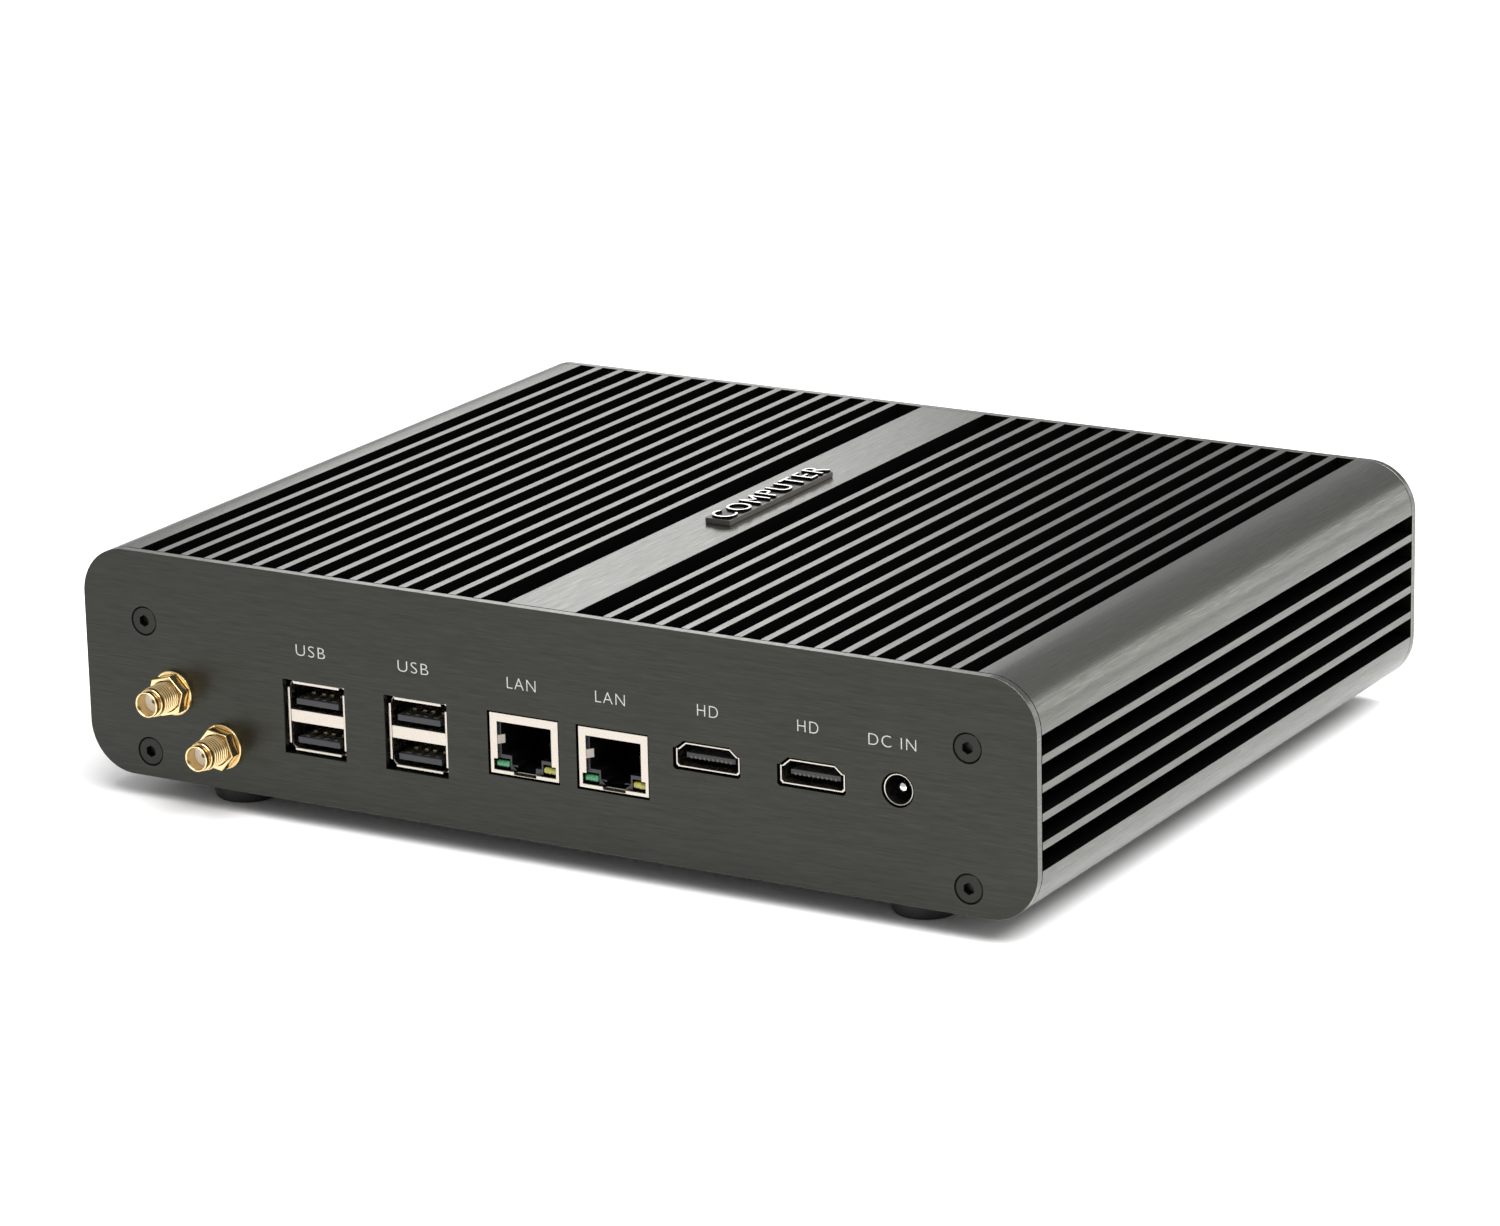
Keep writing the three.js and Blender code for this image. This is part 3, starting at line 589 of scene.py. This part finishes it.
def serialShell(size, front):
    half, tall, deep = size.x / 2, size.z, front + serial["depth"]
    lip, inset, trim = serial["lip"], serial["lipInset"], serial["sleeveTrim"]
    bm = bmesh.new()
    sleeve = bmesh.ops.create_cube(bm, size=1)["verts"]
    start, end = front + serial["sleeveStart"], deep + serial["sleeveEnd"]
    bmesh.ops.scale(bm, vec=(size.x - trim, end - start, tall - trim), verts=sleeve)
    bmesh.ops.translate(bm, vec=(0, (start + end) / 2, tall / 2), verts=sleeve)
    long = [e for e in bm.edges if abs(e.verts[0].co.y - e.verts[1].co.y) > serial["depth"] / 2]
    bmesh.ops.bevel(
        bm, geom=long, offset=serial["corner"], offset_type="OFFSET", segments=5,
        profile=0.5, affect="EDGES", material=-1, clamp_overlap=True,
    )
    ends = [f for f in bm.faces if abs(f.normal.y) > 0.9]
    bmesh.ops.delete(bm, geom=ends, context="FACES_ONLY")
    bmesh.ops.solidify(bm, geom=bm.faces[:], thickness=serial["wall"])
    bmesh.ops.recalc_face_normals(bm, faces=bm.faces[:])
    back = front + serial["lipDepth"]
    for side in (-1, 1):
        inner, outer = sorted((side * half, side * (half - lip)))
        addBlock(bm, (inner, front, inset), (outer, back, tall - inset), serial["lipRound"])
    for low, high in ((0, lip), (tall - lip, tall)):
        addBlock(bm, (inset - half, front, low), (half - inset, back, high), serial["lipRound"])
    lower, upper = deckFloors(tall)
    low = (lip - half, front + serial["bridgeStart"], lower + serial["deck"])
    addBlock(bm, low, (half - lip, deep, upper), serial["bridgeRound"])
    return bm


def serialInsert(size, front):
    half, tall, trim = size.x / 2 - serial["insertTrim"], size.z, serial["insertTrim"]
    bm = bmesh.new()
    rear, end = front + serial["insertStart"], front + serial["insertEnd"]
    addBlock(bm, (-half, rear, trim), (half, end, tall - trim), serial["insertRound"])
    reach, start = serial["tongueHalf"], front + serial["tongueStart"]
    for floor in deckFloors(tall):
        low = floor + serial["tongueLift"]
        high = low + serial["tongue"]
        addBlock(bm, (-reach, start, low), (reach, rear + mm, high), serial["tongueRound"])
    return bm


def serialContacts(size, front):
    # four strips on the upper side of each tongue, each with a raised bow near the back
    bm = bmesh.new()
    strip = [front + place for place in serial["strip"]]
    bow = [front + place for place in serial["bow"]]
    for floor in deckFloors(size.z):
        top = floor + serial["tongueLift"] + serial["tongue"]
        for x in serial["contacts"]:
            low, high = x - serial["contactHalf"], x + serial["contactHalf"]
            flat, raised = top + serial["stripRise"], top + serial["bowRise"]
            addBlock(bm, (low, strip[0], top - 0.05 * mm), (high, strip[1], flat), 0.04 * mm)
            addBlock(bm, (low, bow[0], top), (high, bow[1], raised), 0.18 * mm, 3)
    return bm


def makeSerialSockets():
    for number in (1, 2):
        for side, name, shellNode, insertNodes in serialSets:
            node = f"{shellNode}_{number}"
            held = [f"{insertNode}_{number}" for insertNode in insertNodes]
            place, size, front = onPanel(node, side)
            bm = shift(serialShell(size, front), place)
            asPiece(bm, f"{name}_shell_{number}", "nickel", [node])
            bm = shift(serialInsert(size, front), place)
            asPiece(bm, f"{name}_tongues_{number}", "grey", held)
            bm = shift(serialContacts(size, front), place)
            asPiece(bm, f"{name}_contacts_{number}", "contact")


makeSerialSockets()
print("serial sockets made")


# network sockets

network = {
    "round": 0.1 * mm,
    "housingShadeDepth": 1.6 * mm,  # painted shade makes the housing black behind this
    "lampInner": 4.05 * mm,
    "lampOuter": 7.25 * mm,
    "lampLow": 1.25 * mm,
    "lampHigh": 2.6 * mm,
    "lampBack": 0.55 * mm,  # behind the shell's front
    "lampDeep": 3 * mm,
    "lampRound": 0.5 * mm,
    "finger": 6.45 * mm,  # from the middle to each spring
    "fingerHalf": 0.1 * mm,
    "fingerLong": 1.7 * mm,
    "fingerLow": 6.2 * mm,
    "fingerHigh": 8.1 * mm,
    "fingerBack": 0.2 * mm,
    "fingerLean": 40,
    "wires": 8,
    "wirePitch": 1.02 * mm,
    "wireSize": (0.35 * mm, 8.5 * mm, 0.3 * mm),
    "wireSlope": -20,
    "wireBack": 8.5 * mm,
    "wireDrop": 3.9 * mm,  # below the shell's top
}


def networkLamp(side, front):
    bm = bmesh.new()
    inner, outer = sorted((side * network["lampInner"], side * network["lampOuter"]))
    start = front + network["lampBack"]
    high = (outer, start + network["lampDeep"], network["lampHigh"])
    addBlock(bm, (inner, start, network["lampLow"]), high, network["lampRound"], 4)
    return bm


def networkSprings(front):
    # a spring finger at each side wall, leaning into the cavity
    bm = bmesh.new()
    half, tip = network["fingerHalf"], network["fingerLong"]
    for side in (-1, 1):
        finger = bmesh.new()
        addBlock(finger, (-half, 0, network["fingerLow"]), (half, tip, network["fingerHigh"]), 0.08 * mm)
        stand = Matrix.Translation((side * network["finger"], front + network["fingerBack"], 0))
        shift(finger, stand @ Matrix.Rotation(side * radians(network["fingerLean"]), 4, "Z"))
        mesh = inMesh(finger, "finger")
        bm.from_mesh(mesh)
        bpy.data.meshes.remove(mesh)
    return bm


def networkWires(size, front):
    # contact wires that slope down from the cavity's roof towards the back
    bm = bmesh.new()
    slope = Matrix.Rotation(radians(network["wireSlope"]), 3, "X")
    for x in evenRow(network["wires"], network["wirePitch"]):
        wire = bmesh.ops.create_cube(bm, size=1)["verts"]
        bmesh.ops.scale(bm, vec=network["wireSize"], verts=wire)
        bmesh.ops.rotate(bm, matrix=slope, verts=wire)
        middle = (x, front + network["wireBack"], size.z - network["wireDrop"])
        bmesh.ops.translate(bm, vec=middle, verts=wire)
    return bm


def makeNetworkSockets():
    for number in (1, 2):
        shellNode, housingNode = f"lan_shell_{number}", f"lan_housing_{number}"
        bm = copyOfNode(shellNode, network["round"])
        asPiece(bm, f"network_shell_{number}", "nickel", [shellNode])
        bm = copyOfNode(housingNode, network["round"])
        paintShadeBehind(bm, network["housingShadeDepth"])
        asPiece(bm, f"network_housing_{number}", "grey void", [housingNode])
        place, size, front = onPanel(shellNode, "socket")
        for colour, side in (("green", -1), ("yellow", 1)):
            bm = shift(networkLamp(side, front), place)
            asPiece(bm, f"network_lamp_{colour}_{number}", colour)
        bm = shift(networkSprings(front), place)
        asPiece(bm, f"network_springs_{number}", "spring")
        bm = shift(networkWires(size, front), place)
        asPiece(bm, f"network_contacts_{number}", "contact")


makeNetworkSockets()
print("network sockets made")


# display sockets and the power inlet

display = {
    "round": 0.1 * mm,
    "edge": 0.04 * mm,
    "insertShadeDepth": 7 * mm,  # painted shade makes the insert black behind this
    "contacts": 10,
    "pitch": 1.0 * mm,
    "contactHalf": 0.2 * mm,
    "contactStart": 1.25 * mm,
    "contactEnd": 7 * mm,
    "contactRound": 0.04 * mm,
    "contactLow": 1.64 * mm,
    "contactHigh": 2.3 * mm,
}
inlet = {
    "round": 0.1 * mm,
    "ring": 3.28 * mm,
    "bore": 3.0 * mm,
    "ringFront": 0.4 * mm,
    "ringBack": 1.4 * mm,
    "pin": 1.05 * mm,
    "collar": 1.8 * mm,
    "collarLong": 1.4 * mm,
}


def displayContacts(front):
    bm = bmesh.new()
    half = display["contactHalf"]
    start, end = front + display["contactStart"], front + display["contactEnd"]
    for x in evenRow(display["contacts"], display["pitch"]):
        low = (x - half, start, display["contactLow"])
        addBlock(bm, low, (x + half, end, display["contactHigh"]), display["contactRound"])
    return bm


def makeDisplaySockets():
    for number in (1, 2):
        shellNode, insertNode = f"display_shell_{number}", f"display_insert_{number}"
        bm = copyOfNode(shellNode, display["edge"])
        asPiece(bm, f"display_sleeve_{number}", "nickel", [shellNode])
        bm = copyOfNode(insertNode, display["round"])
        paintShadeBehind(bm, display["insertShadeDepth"])
        asPiece(bm, f"display_tongue_{number}", "grey void", [insertNode])
        place, _, front = onPanel(shellNode, "socket")
        # the contacts take the painted shade finish
        bm = shift(displayContacts(front), place)
        asPiece(bm, f"display_contacts_{number}", "contactShade")


def makePowerInlet():
    bm = copyOfNode("power_inlet", inlet["round"])
    asPiece(bm, "inlet_body", "black", ["power_inlet"])
    place, size, front = onAxis("power_inlet_pin", "socket")
    ring = bmesh.new()
    outer, bore, face = inlet["ring"], inlet["bore"], inlet["ringFront"]
    addSpun(ring, [
        (bore, face),
        (outer - 0.1 * mm, face - 0.06 * mm),
        (outer, face + 0.04 * mm),
        (outer, inlet["ringBack"]),
        (bore, inlet["ringBack"]),
    ], steps=56, closed=True)
    asPiece(shift(ring, place), "inlet_ring", "nickel")
    pin = bmesh.new()
    radius, reach = inlet["pin"], front + size.y
    addSpun(pin, [
        (0, front),
        (radius * 0.45, front + 0.08 * mm),
        (radius * 0.85, front + 0.35 * mm),
        (radius, front + 0.8 * mm),
        (radius, reach - inlet["collarLong"]),
        (inlet["collar"], reach - inlet["collarLong"]),
        (inlet["collar"], reach),
        (0, reach),
    ], steps=40)
    asPiece(shift(pin, place), "inlet_pin", "chrome", ["power_inlet_pin"])


makeDisplaySockets()
makePowerInlet()
print("display sockets and power inlet made")


# antenna sockets

antenna = {
    "reach": 10 * mm,
    "lip": 2.72 * mm,
    "bore": 2.36 * mm,
    "boreDeep": 4.3 * mm,
    "groove": 2.42 * mm,
    "shoulder": 3.0 * mm,
    "threadStart": 2.5 * mm,  # behind the front end
    "threadEnd": -0.4 * mm,
    "crest": 3.17 * mm,
    "root": 2.66 * mm,
    "flank": 3.0 * mm,
    "pitch": 0.7 * mm,
    "flankAt": 0.21 * mm,  # these three are places along each rib
    "crestStart": 0.3 * mm,
    "crestEnd": 0.42 * mm,
    "flange": 4.5 * mm,
    "flangeFront": 2.3 * mm,  # behind the panel's face
    "flangeBack": 4.3 * mm,
    "tail": 1.9 * mm,
    "insulatorFront": 2.9 * mm,
    "insulatorBack": 4.2 * mm,
    "insulatorHole": 0.66 * mm,
    "tube": 0.64 * mm,
    "tubeBore": 0.42 * mm,
    "tubeDeep": 1.1 * mm,
    "tubeProud": 0.08 * mm,
    "nut": 8 * mm,  # across its flats
    "nutEdge": 0.22 * mm,
    "nutTurns": (15, -20),
    "clearance": 0.1 * mm,
    "washerEdge": 0.18 * mm,
    "washerSunk": 0.25 * mm,
}


def antennaBarrel(end):
    a, reach = antenna, antenna["reach"]
    threadFront = a["threadStart"] - reach
    profile = [
        (0, a["boreDeep"] - reach),
        (a["bore"], a["boreDeep"] - reach),
        (a["bore"], 0.12 * mm - reach),
        (a["bore"] + 0.1 * mm, -reach),
        (a["lip"] - 0.08 * mm, -reach),
        (a["lip"], 0.1 * mm - reach),
        (a["lip"], 0.85 * mm - reach),
        (a["groove"], 0.95 * mm - reach),
        (a["groove"], 1.35 * mm - reach),
        (a["shoulder"] - 0.12 * mm, 1.45 * mm - reach),
        (a["shoulder"], 1.6 * mm - reach),
        (a["shoulder"], 2.3 * mm - reach),
        (a["root"], threadFront),
    ]
    place = threadFront
    while place < a["threadEnd"]:
        profile += [
            (a["flank"], place + a["flankAt"]),
            (a["crest"], place + a["crestStart"]),
            (a["crest"], place + a["crestEnd"]),
            (a["root"], place + a["pitch"]),
        ]
        place += a["pitch"]
    profile += [
        (a["crest"], 1.0 * mm),
        (a["crest"], a["flangeFront"]),
        (a["flange"], a["flangeFront"]),
        (a["flange"], a["flangeBack"]),
        (a["tail"], a["flangeBack"]),
        (a["tail"], end),
        (0, end),
    ]
    bm = bmesh.new()
    addSpun(bm, profile, steps=56)
    # painted shade: the faces down in the thread take a darker gold
    for face in bm.faces:
        middle = face.calc_center_median()
        threaded = threadFront < middle.y < 0
        deep = sqrt(middle.x * middle.x + middle.z * middle.z) < a["flank"] - 0.02 * mm
        face.material_index = 1 if threaded and deep else 0
    return bm


def antennaInsulator():
    # the white disc around the centre tube
    front = antenna["insulatorFront"] - antenna["reach"]
    back = antenna["insulatorBack"] - antenna["reach"]
    hole, outer = antenna["insulatorHole"], antenna["bore"] - 0.02 * mm
    bm = bmesh.new()
    addSpun(bm, [(hole, front), (outer, front), (outer, back), (hole, back)], steps=40, closed=True)
    return bm


def antennaCentre():
    front = antenna["insulatorFront"] - antenna["tubeProud"] - antenna["reach"]
    tube, bore, deep = antenna["tube"], antenna["tubeBore"], antenna["tubeDeep"]
    bm = bmesh.new()
    addSpun(bm, [
        (0, front + deep),
        (bore, front + deep),
        (bore, front),
        (tube, front),
        (tube, front + deep + 0.2 * mm),
        (0, front + deep + 0.2 * mm),
    ], steps=28)
    return bm


def antennaNut(size, front, turn):
    # a six-sided nut with a chamfered edge
    bm = bmesh.new()
    bmesh.ops.create_circle(bm, segments=6, radius=antenna["nut"] / sqrt(3))
    bmesh.ops.create_circle(bm, segments=36, radius=antenna["crest"] + antenna["clearance"])
    bmesh.ops.triangle_fill(bm, edges=bm.edges[:], use_beauty=True, use_dissolve=False, normal=(0, 0, 1))
    lifted = bmesh.ops.extrude_face_region(bm, geom=bm.faces[:])["geom"]
    far = [v for v in lifted if isinstance(v, bmesh.types.BMVert)]
    bmesh.ops.translate(bm, vec=(0, 0, size.y), verts=far)
    bmesh.ops.recalc_face_normals(bm, faces=bm.faces[:])
    bmesh.ops.dissolve_limit(bm, angle_limit=radians(1), verts=bm.verts[:], edges=bm.edges[:])
    soften(bm, antenna["nutEdge"], 3, 40)
    stand = Matrix.Translation((0, front + size.y, 0)) @ Matrix.Rotation(radians(turn), 4, "Y")
    return shift(bm, stand @ Matrix.Rotation(pi / 2, 4, "X"))


def antennaWasher(size, front):
    bm = bmesh.new()
    outer, bore = size.x / 2, antenna["crest"] + antenna["clearance"]
    back = front + size.y + antenna["washerSunk"]
    addSpun(bm, [
        (bore, front),
        (outer - antenna["washerEdge"], front),
        (outer, front + 0.16 * mm),
        (outer, back),
        (bore, back),
    ], steps=56, closed=True)
    return bm


def makeAntennaSockets():
    for number, turn in enumerate(antenna["nutTurns"], 1):
        node = f"antenna_socket_{number}"
        place, size, _ = onAxis(node, "socket")
        bm = shift(antennaBarrel(size.y - antenna["reach"]), place)
        asPiece(bm, f"antenna_barrel_{number}", "gold goldShade", [node], sharp=25)
        bm = shift(antennaInsulator(), place)
        asPiece(bm, f"antenna_insulator_{number}", "white")
        bm = shift(antennaCentre(), place)
        asPiece(bm, f"antenna_centre_{number}", "contact")
        nutNode, washerNode = f"antenna_nut_{number}", f"antenna_washer_{number}"
        nutSize, nutFront = onAxis(nutNode, "socket")[1:]
        bm = shift(antennaNut(nutSize, nutFront, turn), place)
        asPiece(bm, f"antenna_hex_nut_{number}", "gold", [nutNode])
        washerSize, washerFront = onAxis(washerNode, "socket")[1:]
        bm = shift(antennaWasher(washerSize, washerFront), place)
        asPiece(bm, f"antenna_ring_{number}", "gold", [washerNode])


makeAntennaSockets()
print("antenna sockets made")


# power button

button = {
    "steps": 64,
    "cap": 5 * mm,
    "dish": 0.35 * mm,  # how far the middle of the cap is sunk
    "collar": 5.9 * mm,
    "collarStart": 5.6 * mm,
    "collarEnd": 6.6 * mm,
    "stem": 1.6 * mm,
    "ringBore": 5.3 * mm,
    "ringSleeve": 6.2 * mm,
    "ringBack": 5.2 * mm,
    "ringEdge": 0.15 * mm,
    "ringCurve": 0.5 * mm,
    "ringGap": 0.02 * mm,  # between the ring's flange and the panel
}


def buttonCap():
    place, size, front = onAxis("power_button", "control")
    radius, end = button["cap"], front + size.y
    bm = bmesh.new()
    addSpun(bm, [
        (0, front + button["dish"]),
        (3.2 * mm, front + 0.3 * mm),
        (4.1 * mm, front + 0.05 * mm),
        (4.5 * mm, front),
        (radius - 0.12 * mm, front + 0.12 * mm),
        (radius, front + 0.4 * mm),
        (radius, button["collarStart"]),
        (button["collar"], button["collarStart"]),
        (button["collar"], button["collarEnd"]),
        (button["stem"], button["collarEnd"]),
        (button["stem"], end),
        (0, end),
    ], steps=button["steps"])
    return shift(bm, place)


def buttonRing():
    place, size, front = onAxis("power_button_ring", "control")
    bore, sleeve, flange = button["ringBore"], button["ringSleeve"], size.x / 2
    edge, curve = button["ringEdge"], button["ringCurve"]
    bm = bmesh.new()
    addSpun(bm, [
        (bore, front + edge),
        (bore + edge, front),
        (flange - curve, front),
        (flange - 0.12 * mm, front + edge),
        (flange, front + curve),
        (flange, -button["ringGap"]),
        (sleeve, -button["ringGap"]),
        (sleeve, button["ringBack"]),
        (bore, button["ringBack"]),
    ], steps=button["steps"], closed=True)
    return shift(bm, place)


def makePowerButton():
    asPiece(buttonCap(), "button_cap", "button", ["power_button"], "button")
    asPiece(buttonRing(), "button_surround", "milky", ["power_button_ring"])


makePowerButton()
print("power button made")


# labels and nameplate

label = {
    "tall": 2.35 * mm,
    "thick": 0.02 * mm,
    "weight": -0.016,
    "row": 32.9 * mm,  # above the panel's lower edge
    # each word with its place along X, its width and how far it is lifted, in millimetres
    "socket": (
        ("USB", -55.1, 7.2, 0),
        ("USB", -30.0, 7.4, 0),
        ("LAN", -4.1, 6.8, 0),
        ("LAN", 16.75, 6.9, 0),
        ("HD", 39.2, 4.75, 0.45),
        ("HD", 61.85, 4.7, 0.45),
        ("DC IN", 80.55, 10.5, 0),
    ),
}
plate = {
    "words": "COMPUTER",
    "weight": -0.012,
    "gap": 1.2,
    "margin": 0.7 * mm,
    "base": 1.0 * mm,
    "rise": 0.5 * mm,
    "top": 1.5 * mm,
    "round": 0.15 * mm,
}


def letters(words, wide, tall, thick, weight=0.0, gap=1.15):
    # letters lying in the XY plane, centred on the origin, as wide and as tall as asked
    curve = bpy.data.curves.new("words", "FONT")
    curve.body = words
    curve.space_character = gap
    curve.offset = weight
    curve.resolution_u = 6
    writing = bpy.data.objects.new("words", curve)
    bpy.context.scene.collection.objects.link(writing)
    graph = bpy.context.evaluated_depsgraph_get()
    flat = bpy.data.meshes.new_from_object(writing.evaluated_get(graph))
    bpy.data.objects.remove(writing)
    bm = bmesh.new()
    bm.from_mesh(flat)
    bpy.data.meshes.remove(flat)
    low = Vector([min(v.co[i] for v in bm.verts) for i in range(3)])
    high = Vector([max(v.co[i] for v in bm.verts) for i in range(3)])
    bmesh.ops.translate(bm, vec=-(low + high) / 2, verts=bm.verts[:])
    bmesh.ops.scale(bm, vec=(wide / (high.x - low.x), tall / (high.y - low.y), 1), verts=bm.verts[:])
    bmesh.ops.remove_doubles(bm, verts=bm.verts[:], dist=0.002 * mm)
    bmesh.ops.recalc_face_normals(bm, faces=bm.faces[:])
    lifted = bmesh.ops.extrude_face_region(bm, geom=bm.faces[:])["geom"]
    top = [v for v in lifted if isinstance(v, bmesh.types.BMVert)]
    bmesh.ops.translate(bm, vec=(0, 0, thick), verts=top)
    bmesh.ops.recalc_face_normals(bm, faces=bm.faces[:])
    return bm


def makeLabels():
    for number, (words, x, wide, lift) in enumerate(label["socket"], 1):
        bm = letters(words, wide * mm, label["tall"], label["thick"], label["weight"])
        up = panelFoot + label["row"] + lift * mm
        place = Matrix.Translation((x * mm, socketFace + label["thick"] / 2, up))
        shift(bm, place @ Matrix.Rotation(pi / 2, 4, "X"))
        asPiece(bm, f"label_{number}", "ink")


def makeNameplate():
    low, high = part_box("nameplate")
    bm = bmesh.new()
    top = (high.x, high.y, low.z + plate["base"])
    addBlock(bm, (low.x, low.y, caseTop + 0.02 * mm), top, plate["round"])
    # painted highlight: the plate's sides and rounded edges take a brighter metal than its dark top
    for face in bm.faces:
        face.material_index = 0 if face.normal.z > 0.95 else 1
    asPiece(bm, "nameplate_base", "plateBase plateSide", ["nameplate"])
    long, tall = high.y - low.y - plate["margin"], high.x - low.x - plate["margin"]
    bm = letters(plate["words"], long, tall, plate["rise"], plate["weight"], plate["gap"])
    sole = low.z + plate["top"] - plate["rise"]
    stand = Matrix.Translation(((low.x + high.x) / 2, (low.y + high.y) / 2, sole))
    shift(bm, stand @ Matrix.Rotation(pi / 2, 4, "Z"))
    # painted shade: the letters' sides take the dark plate finish, so only their tops read bright
    for face in bm.faces:
        face.material_index = 0 if face.normal.z > 0.9 else 1
    asPiece(bm, "nameplate_letters", "letter plateBase")


makeLabels()
makeNameplate()
print("labels and nameplate made")


# what the case holds

inside = {
    "mainboard": "circuit",
    "processor": "chip",
    "heat_block": "block",
    "memory_socket": "black",
    "memory_module": "circuit",
    "storage_card": "circuit",
    "wireless_card": "circuit",
    "clock_battery": "nickel",
    "power_switch": "black",
    "antenna_lead_1": "lead",
    "antenna_lead_2": "lead",
    "board_screw_1": "screw",
    "board_screw_2": "screw",
    "board_screw_3": "screw",
    "board_screw_4": "screw",
}
for node, kind in inside.items():
    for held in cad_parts[node].material_slots:
        held.material = finish[kind]
print("inner parts finished:", len(inside))


# floor and lights

studio = {"floor": 8.0, "floorColour": (0.9, 0.9, 0.9), "floorRoughness": 0.6, "world": 0.6}
lamps = {
    "key": {"place": (0.55, -0.3, 1.7), "aim": (0, 0, 0), "size": (2.0, 2.0), "power": 62},
    "backLeft": {"place": (-0.67, 1.0, 0.55), "aim": (0, 0, 0.05), "size": (0.32, 0.32), "power": 1.06},
    "backRight": {"place": (1.05, 1.3, 0.36), "aim": (0, 0, 0.05), "size": (0.95, 0.5), "power": 3.4},
    "side": {"place": (1.15, 0.25, 1.45), "aim": (0.25, 0, 0), "size": (0.9, 0.9), "power": 20},
}


def paleFloor():
    bm = bmesh.new()
    bmesh.ops.create_grid(bm, x_segments=1, y_segments=1, size=studio["floor"] / 2)
    mesh = inMesh(bm, "floor")
    material = startMaterial("pale floor", studio["floorColour"], studio["floorRoughness"])[0]
    mesh.materials.append(material)
    floor = bpy.data.objects.new("floor", mesh)
    bpy.context.scene.collection.objects.link(floor)


def softLight(name, spec):
    data = bpy.data.lights.new(name, "AREA")
    data.shape = "RECTANGLE"
    data.size, data.size_y = spec["size"]
    data.energy = spec["power"]
    light = bpy.data.objects.new(name, data)
    bpy.context.scene.collection.objects.link(light)
    light.location = spec["place"]
    toward = Vector(spec["aim"]) - Vector(spec["place"])
    light.rotation_euler = toward.to_track_quat("-Z", "Y").to_euler()


def studioWorld():
    world = bpy.data.worlds.new("studio")
    world.use_nodes = True
    background = world.node_tree.nodes["Background"]
    background.inputs["Color"].default_value = (1, 1, 1, 1)
    background.inputs["Strength"].default_value = studio["world"]
    bpy.context.scene.world = world


paleFloor()
studioWorld()
for name, spec in lamps.items():
    softLight(name, spec)
bpy.context.scene.view_settings.view_transform = "Standard"
print("floor and lights set")
